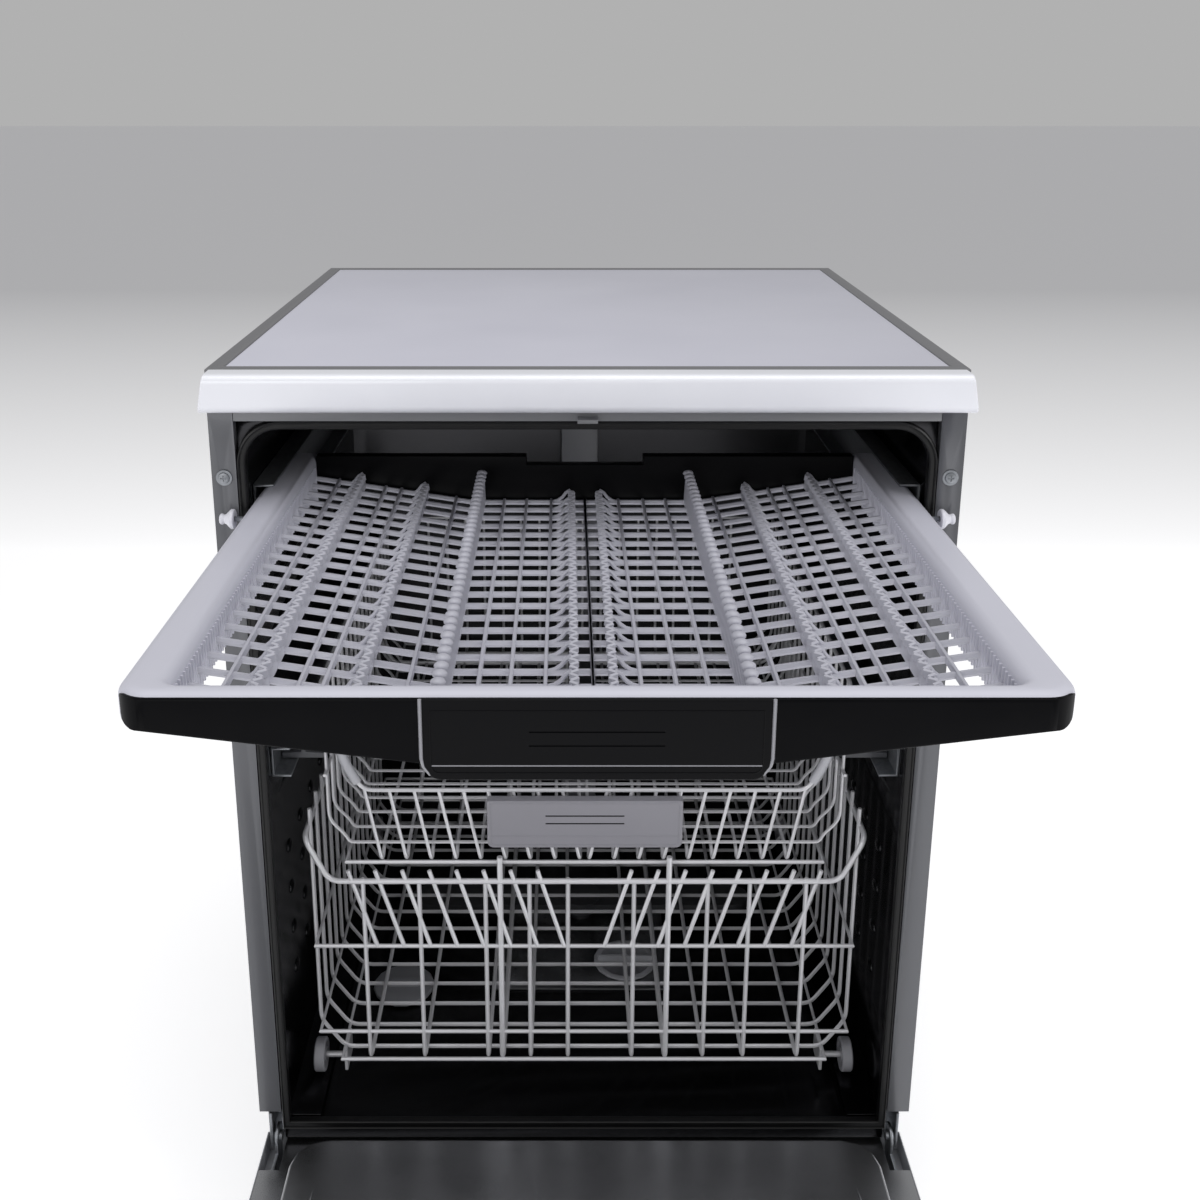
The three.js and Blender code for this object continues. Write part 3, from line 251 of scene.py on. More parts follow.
def whole_faces():
    """In edit mode, merges doubled corners and turns triangles back into whole faces."""
    bpy.ops.mesh.remove_doubles(threshold=0.002 * mm)
    bpy.ops.mesh.dissolve_limited(angle_limit=math.radians(0.5))


def casting(node):
    """A copy of a CAD node's mesh with its triangles merged into whole faces."""
    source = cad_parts[node]
    piece = bpy.data.objects.new(node + "_copy", source.data.copy())
    piece.data.transform(source.matrix_world)
    piece.data.materials.clear()
    bpy.context.scene.collection.objects.link(piece)
    with editing(piece):
        whole_faces()
    return piece


def fitted(piece, name, body, slot, finish, *replaced):
    """Names a finished piece, paints it, and puts it on its body in place of the CAD nodes it stands for."""
    piece.name = name
    piece.data.name = name
    piece.data.materials.clear()
    piece.data.materials.append(finish.material)
    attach(piece, body)
    if replaced:
        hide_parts(*replaced)
    return piece


def fitted_casting(node, name, body, slot, finish, edge, segments=2, angle=32):
    """A CAD node's own form with its edges softened, fitted in the node's place."""
    return fitted(softened(casting(node), edge, segments, angle), name, body, slot, finish, node)


def moulded(name, colour, roughness, grain=0.9 * mm, relief=0.02 * mm, mottle=0.08, specular=0.5):
    """Moulded plastic: a mottled colour, a grained skin and a gloss that varies a little."""
    finish = Finish(name, specular=specular)
    patches = finish.noise(60 * mm, 3)
    skin = finish.noise(grain)
    finish.to("Base Color", finish.blend(patches, shade(colour, 1 - mottle), colour))
    finish.to("Roughness", roughness + (skin - 0.5) * 0.16 + (patches - 0.5) * 0.08)
    finish.bump(skin, relief)
    return finish


worktop_plastic = moulded("worktop_plastic", tint("6C6C6F"), 0.5)
fitted_casting("worktop_frame", "worktop_rim", "cabinet", "worktop_plastic", worktop_plastic, 1.2 * mm, 3)


# Worktop panel: a chipboard panel with a lilac-grey laminate face, let into the frame.
# The laminate has a fine satin skin and the faint cloud of a printed decor paper.
laminate = Finish("worktop_laminate")
decor = laminate.noise(140 * mm, 4)
satin = laminate.noise(0.8 * mm)
laminate.to("Base Color", laminate.blend(decor, tint("B9B9C5"), tint("C6C6D1")))
laminate.to("Roughness", 0.4 + (satin - 0.5) * 0.12)
laminate.bump(satin, 0.01 * mm)
fitted_casting("worktop_panel", "worktop_board", "cabinet", "worktop_laminate", laminate, 0.5 * mm)


# Front trim: a moulded strip with silver lacquer across the worktop's front. Its face is domed, and its
# ends flare out and down past the cabinet's sides. It clips to the worktop frame from behind.
def block(low, high):
    """A cube at its size and place."""
    low, high = Vector(low), Vector(high)
    bpy.ops.object.select_all(action="DESELECT")
    bpy.ops.mesh.primitive_cube_add(size=1, location=(low + high) / 2, scale=high - low)
    bpy.ops.object.transform_apply()
    return bpy.context.object


silver_lacquer = Finish("silver_lacquer", metallic=0.15, coat=0.3)
flakes = silver_lacquer.noise(0.35 * mm, 1)
cloud = silver_lacquer.noise(90 * mm)
silver_lacquer.to("Base Color", silver_lacquer.blend(cloud, tint("DDDEE5"), tint("E9EAF0")))
silver_lacquer.to("Roughness", 0.32 + flakes * 0.12)
silver_lacquer.bump(flakes, 0.005 * mm)
trim_low, trim_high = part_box("worktop_front_trim")
trim_flare = 5.5 * mm
trim_dome = 7 * mm
trim = block(trim_low, trim_high)
with editing(trim, "FACE", lambda face: face.normal.z > 0.9):
    share = 1 - trim_flare / trim_high.x
    bpy.ops.transform.resize(value=(share, 1, 1), center_override=(0, 0, 0))
with editing(trim, "EDGE", lambda edge: runs_along(edge, 0) and middle(edge).y < trim_low.y + mm):
    bpy.ops.mesh.bevel(offset=trim_dome, segments=8, affect="EDGES")
softened(trim, 0.9 * mm, 3, 40)
fitted(trim, "worktop_trim", "cabinet", "silver_trim", silver_lacquer, "worktop_front_trim")


# Side panels: enamelled sheet steel. Each is folded round the front as a column and stepped back below for
# the swing of the door, and its outer side is stiffened by a large shallow field that is pressed outwards.
def enamel(name, colour, roughness=0.36, metallic=0.0):
    """Baked enamel: an even colour with a faint orange-peel skin."""
    finish = Finish(name, coat=0.15, metallic=metallic)
    patches = finish.noise(180 * mm)
    peel = finish.noise(2.6 * mm, 1)
    finish.to("Base Color", finish.blend(patches, shade(colour, 0.92), colour))
    finish.to("Roughness", roughness + (peel - 0.5) * 0.1)
    finish.bump(peel, 0.012 * mm)
    return finish


cabinet_enamel = enamel("cabinet_enamel", tint("606165"), 0.34, 0.4)
field_inset = 34 * mm
field_slope = 5 * mm
field_rise = 0.9 * mm
large_area = 0.2
sides = {"right": 1, "left": -1}
for side, way in sides.items():
    node = "side_panel_" + side
    panel = casting(node)
    with editing(panel, "FACE", lambda face: face.normal.x * way > 0.9 and face.calc_area() > large_area):
        bpy.ops.mesh.inset(thickness=field_inset, depth=0)
        bpy.ops.mesh.inset(thickness=field_slope, depth=field_rise)
    softened(panel, 0.35 * mm, 2, 50)
    fitted(panel, "side_sheet_" + side, "cabinet", "cabinet_paint", cabinet_enamel, node)


# Column screws: a zinc-plated screw with a cross recess, headed over its washer. It pulls the front column
# and the tub's flange together.
def lathed(outline, axis, centre, steps):
    """An outline of (radius, height) points turned round an axis through a place."""
    line = drawn([[(radius, 0, height) for radius, height in outline]])
    weld = 0.001 * mm
    modified(line, "SCREW", axis="Z", steps=steps, render_steps=steps, use_merge_vertices=True,
             merge_threshold=weld)
    turns = {"x": Matrix.Rotation(math.pi / 2, 4, "Y"), "y": Matrix.Rotation(-math.pi / 2, 4, "X"),
             "z": Matrix.Identity(4)}
    line.data.transform(Matrix.Translation(centre) @ turns[axis])
    with editing(line):
        bpy.ops.mesh.remove_doubles(threshold=weld)
        bpy.ops.mesh.normals_make_consistent(inside=False)
    return smoothed(line)


def traced(paths, closed, **settings):
    """Curves through points, with the curve's settings, turned into one mesh."""
    curve = bpy.data.curves.new("traced", "CURVE")
    for setting, value in settings.items():
        setattr(curve, setting, value)
    for path in paths:
        line = curve.splines.new("POLY")
        line.points.add(len(path) - 1)
        line.use_cyclic_u = closed
        for point, place in zip(line.points, path):
            point.co = (*place, 1)
    piece = bpy.data.objects.new("traced", curve)
    bpy.context.scene.collection.objects.link(piece)
    only(piece)
    bpy.ops.object.convert(target="MESH")
    return piece


def drawn(paths, radius=0.0, rings=1, closed=False):
    """Lines through points, or round rods along them, as one mesh."""
    return smoothed(traced(paths, closed, dimensions="3D", bevel_depth=radius, bevel_resolution=rings,
                           use_fill_caps=radius > 0))


def smoothed(piece, angle=40):
    """Smooth shading, with the edges left sharp that turn further than the angle."""
    only(piece)
    bpy.ops.object.shade_smooth_by_angle(angle=math.radians(angle))
    return piece


def joined(*pieces):
    """Several meshes as one piece."""
    bpy.ops.object.select_all(action="DESELECT")
    for piece in pieces:
        piece.select_set(True)
    bpy.context.view_layer.objects.active = pieces[0]
    bpy.ops.object.join()
    return pieces[0]


def copied(piece, *moves):
    """The piece and its copies at further places, joined."""
    others = []
    for move in moves:
        other = piece.copy()
        other.data = piece.data.copy()
        other.data.transform(Matrix.Translation(move))
        bpy.context.scene.collection.objects.link(other)
        others.append(other)
    return joined(piece, *others)


def mirrored(piece):
    """The piece and its mirror image across the middle plane, joined."""
    return modified(piece, "MIRROR", use_axis=(True, False, False), use_mirror_merge=False)


def trimmed(piece, tool, operation="DIFFERENCE"):
    """Cuts the tool's shape out of the piece, or keeps only what lies inside it."""
    modified(piece, "BOOLEAN", operation=operation, object=tool, solver="EXACT")
    bpy.data.objects.remove(tool)


zinc = Finish("zinc_plate", metallic=0.9)
spangle = zinc.noise(4 * mm, 3)
zinc.to("Base Color", zinc.blend(spangle, tint("6F7276"), tint("A2A5AA")))
zinc.to("Roughness", 0.3 + spangle * 0.22)
zinc.bump(spangle, 0.01 * mm)
shank_radius = 2 * mm
cross_long = 2.4 * mm
cross_short = 0.5 * mm
cross_depth = 0.9 * mm
for side in sides:
    node = "flange_screw_" + side
    low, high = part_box(node)
    centre = Vector(((low.x + high.x) / 2, front_y, (low.z + high.z) / 2))
    head_y = low.y - front_y
    tip_y = high.y - front_y
    screw_outline = [(0, head_y), (2.6 * mm, head_y), (4.2 * mm, head_y + 0.5 * mm), (4.6 * mm, -1.1 * mm),
                     (6.4 * mm, -1.0 * mm), (6.6 * mm, -0.3 * mm), (shank_radius, -0.3 * mm),
                     (shank_radius, tip_y), (0, tip_y)]
    screw = lathed(screw_outline, "y", centre, 40)
    for across, up in ((cross_long, cross_short), (cross_short, cross_long)):
        trimmed(screw, block((centre.x - across, low.y - mm, centre.z - up),
                             (centre.x + across, low.y + cross_depth, centre.z + up)))
    fitted(smoothed(screw), "column_screw_" + side, "cabinet", "zinc_steel", zinc, node)


# Front rail: an angle of enamelled sheet steel under the worktop, spot-welded between the columns.
# Its tongue reaches forward for the latch of the door.
rail_enamel = enamel("rail_enamel", tint("77787B"))
fitted_casting("front_rail", "front_rail_sheet", "cabinet", "cabinet_paint", rail_enamel, 0.2 * mm, 2, 50)


# Tub: a deep-drawn box of stainless sheet with a flange round its front and a ledge along each side. Rows
# of oval dimples and three long beads are pressed into its sides, and shallow beads into its ceiling.
def steel(name, colour, roughness, brushed=(1, 1, 1)):
    """Stainless sheet: metal with fine drawn lines and faint stains."""
    finish = Finish(name, metallic=1.0)
    lines = finish.noise(0.6 * mm, 2, brushed)
    stains = finish.noise(70 * mm, 4)
    finish.to("Base Color", finish.blend(stains, shade(colour, 0.82), colour))
    finish.to("Roughness", roughness + (lines - 0.5) * 0.16 + (stains - 0.5) * 0.1)
    finish.bump(lines, 0.004 * mm)
    return finish


def dome(centre, size):
    """A flattened ball, half sunk in a sheet, that shows as a pressed dimple or bead."""
    bpy.ops.object.select_all(action="DESELECT")
    bpy.ops.mesh.primitive_uv_sphere_add(segments=16, ring_count=8, radius=1, location=centre, scale=size)
    bpy.ops.object.transform_apply()
    return smoothed(bpy.context.object, 60)


def rowed(piece, count, step):
    """The piece repeated in a row, each copy one step further on."""
    return modified(piece, "ARRAY", count=count, use_relative_offset=False, use_constant_offset=True,
                    constant_offset_displace=step)


# Painted shade: the tub's stainless is given a near-black colour, far darker than the door's stainless, to
# stand in for the dim inside of the tub.
shaded_tub_steel = steel("shaded_tub_steel", tint("38383A"), 0.22, (1, 1, 6))
tub_low, tub_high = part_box("tub")
tub_middle = (tub_low.y + tub_high.y) / 2
tub_wall = 275 * mm
tub_ceiling = 800 * mm
dimple = Vector((3 * mm, 9 * mm, 5.5 * mm))
dimple_pitch = 27 * mm
first_dimple = (tub_wall, tub_low.y + 70 * mm, 250 * mm)
bead_size = (3.5 * mm, 225 * mm, 7 * mm)
ceiling_bead_size = (9 * mm, 200 * mm, 3 * mm)
tub_shell = softened(casting("tub"), 0.4 * mm, 2, 50)
dimples = rowed(dome(first_dimple, dimple), 9, (0, dimple_pitch * 2, 0))
dimples = rowed(dimples, 4, (0, 0, dimple_pitch * 1.6))
beads = [dome((tub_wall, tub_middle, height), bead_size) for height in (450 * mm, 600 * mm, 640 * mm)]
ceiling_beads = [dome((x, tub_middle, tub_ceiling), ceiling_bead_size)
                 for x in (60 * mm, 110 * mm, 160 * mm, 210 * mm)]
tub_shell = joined(tub_shell, mirrored(joined(dimples, *beads, *ceiling_beads)))
fitted(tub_shell, "tub_shell", "cabinet", "stainless", shaded_tub_steel, "tub")


# Door gasket: a black rubber ring with a hollow lip, pushed onto the tub's flange. Its outer edge carries
# a thin glossy bead that the door presses flat.
def rounded_box(low, high, radii, steps=6):
    """A rectangle outline with one radius for each corner: low low, high low, high high, low high."""
    corners = ((low[0], low[1]), (high[0], low[1]), (high[0], high[1]), (low[0], high[1]))
    inward = ((1, 1), (-1, 1), (-1, -1), (1, -1))
    points = []
    for i, (corner, (across, up), radius) in enumerate(zip(corners, inward, radii)):
        centre = (corner[0] + across * radius, corner[1] + up * radius)
        count = steps if radius else 0
        for k in range(count + 1):
            angle = (i + 2 + (k / count if count else 0)) * math.pi / 2
            points.append((centre[0] + radius * math.cos(angle), centre[1] + radius * math.sin(angle)))
    return points


facing = {"x": Matrix(((0, 0, 1), (1, 0, 0), (0, 1, 0))), "y": Matrix(((1, 0, 0), (0, 0, -1), (0, 1, 0))),
          "z": Matrix.Identity(3)}
axis_number = {"x": 0, "y": 1, "z": 2}


def plate(outlines, axis, low, high, edge=0.0, rounds=2):
    """A flat outline with its holes, pulled along an axis from low to high, with rounded edges."""
    flat = [[(across, up, 0) for across, up in outline] for outline in outlines]
    piece = traced(flat, True, dimensions="2D", fill_mode="BOTH", extrude=(high - low) / 2 - edge,
                   bevel_depth=edge, bevel_resolution=rounds, offset=-edge)
    offset = [0, 0, 0]
    offset[axis_number[axis]] = (low + high) / 2
    piece.data.transform(Matrix.Translation(offset) @ facing[axis].to_4x4())
    with editing(piece):
        whole_faces()
        bpy.ops.mesh.normals_make_consistent(inside=False)
    return smoothed(piece)


def gasket_line(inset, corner, steps):
    """The gasket's outline, moved inwards, with its upper corners rounded."""
    return rounded_box((gasket_low.x + inset, gasket_low.z + inset),
                       (gasket_high.x - inset, gasket_high.z - inset), (0, 0, corner, corner), steps)


rubber = Finish("gasket_rubber", coat=0.1, specular=0.3)
dust = rubber.noise(7 * mm, 3)
rubber.to("Base Color", rubber.blend(dust, tint("040405"), tint("0A0A0B")))
rubber.to("Roughness", 0.34 + dust * 0.18)
rubber.bump(dust, 0.05 * mm)
gasket_low, gasket_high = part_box("door_gasket")
gasket_round = 35 * mm
gasket_lip = 7 * mm
ring_outlines = [gasket_line(0, gasket_round, 10), gasket_line(gasket_lip, gasket_round - gasket_lip, 10)]
gasket = plate(ring_outlines, "y", gasket_low.y + 1.2 * mm, gasket_high.y, 1.6 * mm)
bead_radius = 1.1 * mm
bead_inset = 1.4 * mm
bead_y = gasket_low.y + bead_radius
bead_path = [(x, bead_y, z) for x, z in gasket_line(bead_inset, gasket_round, 12)]
gasket = joined(gasket, drawn([bead_path], bead_radius, closed=True))
fitted(gasket, "gasket_ring", "cabinet", "gasket_rubber", rubber, "door_gasket")


# Tray frame: one grey moulding with a broad rounded rail along each side, a bar across its front and a lower
# bar behind. A skirt under each rail runs in the tub's channel, and fine ribs stiffen its inner walls.
tray_low, tray_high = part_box("tray_frame")
front_low, front_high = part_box("tray_front")
grid_low, grid_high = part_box("tray_grid")
rear_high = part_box("tray_rear_wall")[1]
tray_half = tray_high.x
rail_inner = grid_high.x + 0.3 * mm
tray_skin = moulded("tray_skin", tint("C3C3CE"), 0.4, 0.7 * mm, 0.008 * mm, 0.05)
corner_round = 20 * mm
bar_depth = 16 * mm
bar_front = tray_low.y + 0.5 * mm
bar_back = bar_front + bar_depth
rail_drop = 26 * mm
rail_edge = 7.5 * mm
inner_round = 8 * mm
outer_line = rounded_box((-tray_half, bar_front), (tray_half, tray_high.y),
                         (corner_round, corner_round, 0, 0), 10)
inner_line = rounded_box((-rail_inner, bar_back), (rail_inner, tray_high.y),
                         (inner_round, inner_round, 0, 0), 6)
rail_line = outer_line[:-1] + inner_line[-2:-1] + inner_line[:-2][::-1] + inner_line[-1:] + outer_line[-1:]
rail_top = plate([rail_line], "z", tray_high.z - rail_drop, tray_high.z, rail_edge, 5)
skirt_wall = 3 * mm
skirt_inset = 3 * mm
skirt_front = tray_low.y + 60 * mm
skirt_slant = 34 * mm
wall_low = tray_high.z - rail_drop / 2
wall_high = tray_high.z - rail_edge - mm
wall_front_low = tray_high.z - 31 * mm
skirt_side = [(skirt_front, wall_low), (skirt_front + skirt_slant, tray_low.z), (tray_high.y, tray_low.z),
              (tray_high.y, wall_low)]
skirt = plate([skirt_side], "x", tray_half - skirt_wall - skirt_inset, tray_half - skirt_inset)
inner_front = block((-rail_inner, bar_back - 3 * mm, wall_front_low),
                    (rail_inner, bar_back + 0.5 * mm, wall_high))
wall_rib = Vector((1.6 * mm, 1.6 * mm, 24 * mm))
wall_rib_pitch = 5.5 * mm
wall_rib_low = Vector((rail_inner - wall_rib.x, bar_back + 2 * mm, wall_high - wall_rib.z))
wall_rib_count = int((grid_high.y - wall_rib_low.y) / wall_rib_pitch)
wall_ribs = rowed(block(wall_rib_low, wall_rib_low + wall_rib), wall_rib_count, (0, wall_rib_pitch, 0))
back_half = tray_half - skirt_wall - 2 * mm
back_bar = block((-back_half, rear_high.y + 0.3 * mm, tray_low.z),
                 (back_half, tray_high.y, grid_low.z + 8 * mm))
tray_edge = 0.7 * mm
tray_rim = joined(rail_top, softened(mirrored(skirt), tray_edge), mirrored(wall_ribs),
                  softened(inner_front, tray_edge), softened(back_bar, tray_edge))
fitted(tray_rim, "tray_rim", "cutlery_tray", "tray_plastic", tray_skin, "tray_frame")


# Tray front: a black glossy moulding that clips over the front of the tray. It grows deeper towards the
# handle in its middle, and its ends follow the tray's round corners.
black_gloss = Finish("black_gloss", specular=0.05)
haze = black_gloss.noise(30 * mm, 3)
black_gloss.to("Base Color", black_gloss.blend(haze, tint("050507"), tint("0B0B0D")))
black_gloss.to("Roughness", 0.28 + haze * 0.12)
black_gloss.bump(black_gloss.noise(1.2 * mm, 1), 0.006 * mm)
handle_low, handle_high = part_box("tray_handle")
end_height = 20 * mm
end_round = 13 * mm
front_edge = 2.2 * mm
end_z = front_high.z - end_height
half = front_high.x + 3.5 * mm
end_steps = 6
right_end = [(handle_high.x, front_low.z)]
for k in range(end_steps + 1):
    angle = math.pi / 2 * k / end_steps
    right_end.append((half - end_round + end_round * math.sin(angle),
                      end_z + end_round - end_round * math.cos(angle)))
right_end.append((half, front_high.z))
front_outline = right_end + [(-x, z) for x, z in reversed(right_end)]
front_face = plate([front_outline], "y", front_low.y, front_high.y, front_edge, 3)
plan_line = rounded_box((-tray_half, front_low.y), (tray_half, front_high.y + corner_round),
                        (corner_round, corner_round, 0, 0), 12)
plan = plate([plan_line], "z", front_low.z - 5 * mm, front_high.z + 5 * mm)
trimmed(front_face, plan, "INTERSECT")
fitted(smoothed(front_face), "tray_front_moulding", "cutlery_tray", "black_plastic", black_gloss,
       "tray_front")


# Tray handle: a black grip plate let into the tray front, with a fine raised border and two engraved lines.
# A thin light strip edges it at each side, and a fine silver line runs along its lower edge.
handle_round = 10 * mm
handle_gap = 2 * mm
grip_outline = rounded_box((handle_low.x + handle_gap, handle_low.z),
                           (handle_high.x - handle_gap, handle_high.z), (handle_round, handle_round, 0, 0), 6)
grip = plate([grip_outline], "y", handle_low.y, handle_high.y, 1.2 * mm, 3)
border_inset = 4.5 * mm
border_drop = 6.6 * mm
border_outline = rounded_box((handle_low.x + handle_gap + border_inset, handle_low.z + border_inset),
                             (handle_high.x - handle_gap - border_inset, handle_high.z - border_drop),
                             (5 * mm, 5 * mm, mm, mm), 5)
border = drawn([[(x, handle_low.y, z) for x, z in border_outline]], 0.35 * mm, closed=True)
line_half = 37.5 * mm
line_rise = 0.5 * mm
line_depth = 0.7 * mm
for line_z in (721.6 * mm, 713.2 * mm):
    trimmed(grip, block((-line_half, handle_low.y - mm, line_z - line_rise),
                        (line_half, handle_low.y + line_depth, line_z + line_rise)))
black_satin = moulded("black_satin", tint("0D0D0F"), 0.36, 0.5 * mm, 0.01 * mm, specular=0.07)
fitted(joined(smoothed(grip), border), "tray_grip", "cutlery_tray", "black_plastic", black_satin,
       "tray_handle")
strip_finish = moulded("edge_strip", tint("8C8C92"), 0.3)
strip_x = handle_high.x - 1.2 * mm
strip_bottom = handle_low.z + 3 * mm
strip_path = [(strip_x, handle_low.y + 0.6 * mm, handle_high.z),
              (strip_x, handle_low.y + 0.6 * mm, strip_bottom + handle_round),
              (handle_high.x - 2.4 * mm, handle_low.y + 0.8 * mm, strip_bottom + handle_round / 2),
              (handle_high.x - 6 * mm, handle_low.y + mm, strip_bottom)]
strips = mirrored(drawn([strip_path], 1.1 * mm))
edge_line_z = handle_low.z + 9 * mm
edge_line_half = handle_high.x - 7 * mm
edge_path = [(-edge_line_half, handle_low.y, edge_line_z), (edge_line_half, handle_low.y, edge_line_z)]
edge_line = drawn([edge_path], 0.4 * mm)
fitted(joined(strips, edge_line), "grip_edge_strips", "cutlery_tray", "silver_trim", strip_finish)


# Lattice: the tray's floor, one grey moulding of round cross bars and thin long ribs. It is flat in the
# middle and rises towards the sides. The bars are evenly spaced, and the ribs stand closer near the combs.
lattice_skin = moulded("lattice_skin", tint("B4B4BE"), 0.45, 0.6 * mm, 0.006 * mm, 0.06)
bar_count = 21
bar_width = 4.6 * mm
rib_width = 2.4 * mm
bar_y = grid_low.y + bar_width / 2
bar_pitch = (grid_high.y - grid_low.y - bar_width) / (bar_count - 1)
bar_z = grid_low.z + 2.5 * mm
flat_half = 100 * mm
side_slope = 0.16


def floor_rise(x):
    """How much the lattice has risen at a distance from the middle."""
    return max(0, abs(x) - flat_half) * side_slope


bar_path = [(x, bar_y, bar_z + floor_rise(x)) for x in (-rail_inner, -flat_half, flat_half, rail_inner)]
cross_bars = rowed(drawn([bar_path], bar_width / 2, 1), bar_count, (0, bar_pitch, 0))
rib_places = (0.0, 30 * mm, 52 * mm, 72 * mm, 115 * mm, 164 * mm, 178 * mm, 219 * mm)
rib_height = 5.6 * mm
ribs = [block((x - rib_width / 2, grid_low.y, grid_low.z + floor_rise(x)),
              (x + rib_width / 2, grid_high.y, grid_low.z + rib_height + floor_rise(x))) for x in rib_places]
lattice = joined(cross_bars, softened(mirrored(joined(*ribs)), 0.5 * mm, 1))
fitted(lattice, "tray_lattice", "cutlery_tray", "tray_plastic", lattice_skin, "tray_grid")


# Dividers: two tall walls of thin leaning slats beside the middle, with overlapping scallops along their
# tops. They part the tray into three compartments and are moulded with the lattice.
divider_x = 91 * mm
divider_top = 736 * mm
divider_lean = math.radians(24)
divider_wall_half = 1.2 * mm
wall_end_gap = 4 * mm
scallop_pitch = bar_pitch / 2
scallop_count = 2 * bar_count - 3
slat_height = divider_top - grid_low.z - 6 * mm
slat_size = (4.4 * mm, 2.6 * mm, slat_height / math.cos(divider_lean))
first_y = grid_low.y + 12 * mm


def leaning(size, centre, lean):
    """A slat of that size, leaning towards the front at its top."""
    half_size = Vector(size) / 2
    slat = block(-half_size, half_size)
    slat.data.transform(Matrix.Translation(centre) @ Matrix.Rotation(lean, 4, "X"))
    return slat


slats = leaning(slat_size, (divider_x, first_y, grid_low.z + slat_height / 2 + 2 * mm), divider_lean)
slats = rowed(slats, 2 * scallop_count, (0, scallop_pitch / 2, 0))
wall = block((divider_x - divider_wall_half, grid_low.y + wall_end_gap, grid_low.z),
             (divider_x + divider_wall_half, grid_high.y - wall_end_gap, divider_top - 5 * mm))
bpy.ops.object.select_all(action="DESELECT")
bpy.ops.mesh.primitive_uv_sphere_add(segments=12, ring_count=8, radius=1)
scallop = bpy.context.object
scallop_size = (4.6 * mm, 8 * mm, 3 * mm)
scallop_tilt = math.radians(-20)
scallop_place = (divider_x, first_y, divider_top - 3.4 * mm)
scallop.data.transform(Matrix.Translation(scallop_place) @ Matrix.Rotation(scallop_tilt, 4, "X")
                       @ Matrix.Diagonal((*scallop_size, 1)))
scallops = rowed(smoothed(scallop, 60), scallop_count, (0, scallop_pitch, 0))
dividers = mirrored(joined(slats, wall, scallops))
fitted(dividers, "tray_dividers", "cutlery_tray", "tray_plastic", lattice_skin)


# Combs: six low rows of bent teeth, moulded with the lattice, that keep what lies in the tray apart. On the
# outer side of each comb, a thin arm curves up to it from every cross bar.
comb_places = (12 * mm, 141 * mm, 197 * mm)
comb_height = 14 * mm
tooth_height = 6 * mm
tooth_size = Vector((6.4 * mm, 2.4 * mm, tooth_height))
tooth_turn = math.radians(38)
tooth_tilt = math.radians(12)
spine_half = 1.1 * mm
arm_reach = 19 * mm
arm_radius = 1.5 * mm


def comb(x):
    """One comb to the right of the middle, with its arms and its two-legged teeth."""
    low_z = bar_z + floor_rise(x)
    comb_top = low_z + comb_height
    spine = block((x - spine_half, grid_low.y + wall_end_gap, low_z - 2 * mm),
                  (x + spine_half, grid_high.y - wall_end_gap, comb_top - tooth_height))
    teeth = []
    for way in (-1, 1):
        tooth = softened(block(-tooth_size / 2, tooth_size / 2), 0.5 * mm, 1)
        shift = way * scallop_pitch / 4
        tooth.data.transform(Matrix.Translation((x, first_y + shift, comb_top - tooth_size.z / 2))
                             @ Matrix.Rotation(way * tooth_turn, 4, "Z")
                             @ Matrix.Rotation(tooth_tilt, 4, "X"))
        teeth.append(tooth)
    row = rowed(joined(*teeth), scallop_count, (0, scallop_pitch, 0))
    arm_start = x + arm_reach
    arm_path = [(arm_start, bar_y, bar_z + floor_rise(arm_start)), (x + 12 * mm, bar_y, low_z + 2 * mm),
                (x + 8 * mm, bar_y, low_z + 5 * mm), (x + 5 * mm, bar_y, comb_top - 5 * mm),
                (x + mm, bar_y, comb_top - 2.5 * mm)]
    arms = rowed(drawn([arm_path], arm_radius), bar_count, (0, bar_pitch, 0))
    return joined(spine, row, arms)


combs = mirrored(joined(*[comb(x) for x in comb_places]))
fitted(combs, "tray_combs", "cutlery_tray", "tray_plastic", lattice_skin)


# Rear wall of the tray: a moulded bar across its back, with a shallow notch in the middle and a
# thickened upper edge. It is painted black as painted shade for the shadow that falls on it.
fitted_casting("tray_rear_wall", "tray_rear_bar_shaded", "cutlery_tray", "black_plastic", black_satin, 0.8 * mm)


# Tray rails: channels of zinc-plated steel, screwed to the tub's sides. Each holds the tray's side rail and
# reaches out past the gasket with an arm that carries a roller.
sheet_edge = 0.3 * mm
for side in sides:
    fitted_casting("tray_rail_" + side, "tray_channel_" + side, "cabinet", "zinc_steel", zinc,
                   sheet_edge, 1, 50)


# Rollers: white moulded wheels, shaped like a vase, each on a pin of its rail's arm. The tray runs out on
# them in front of the tub.
roller_skin = moulded("roller_skin", tint("DADAE2"), 0.35)
roller_bore = 2.4 * mm
roller_rim = 8 * mm
roller_length = 11.7 * mm
for side, way in sides.items():
    node = "tray_roller_" + side
    low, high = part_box(node)
    centre = (0, (low.y + high.y) / 2, (low.z + high.z) / 2)
    start = low.x if way > 0 else -high.x
    outline = [(roller_bore, start), (7.4 * mm, start), (roller_rim, start + 0.6 * mm),
               (roller_rim, start + 2.6 * mm), (6.6 * mm, start + 4.2 * mm), (4.2 * mm, start + 6.4 * mm),
               (3.6 * mm, start + 8.2 * mm), (4.4 * mm, start + 9.6 * mm), (4.4 * mm, start + 10.8 * mm),
               (3.4 * mm, start + roller_length), (roller_bore, start + roller_length), (roller_bore, start)]
    roller = lathed(outline, "x", centre, 36)
    if way < 0:
        roller.data.transform(Matrix.Scale(-1, 4, (1, 0, 0)))
        with editing(roller):
            bpy.ops.mesh.normals_make_consistent(inside=False)
    fitted(roller, "vase_roller_" + side, "tray_roller_" + side, "roller_plastic", roller_skin, node)


# Upper basket: welded steel wire with a pale coating. Its sides step in towards the floor, its rim drops
# to a low front, and the front wires lean outwards and run on under the floor to the back.
def spaced(first, last, count):
    """Evenly spaced places from the first to the last."""
    return [first + (last - first) * i / (count - 1) for i in range(count)]


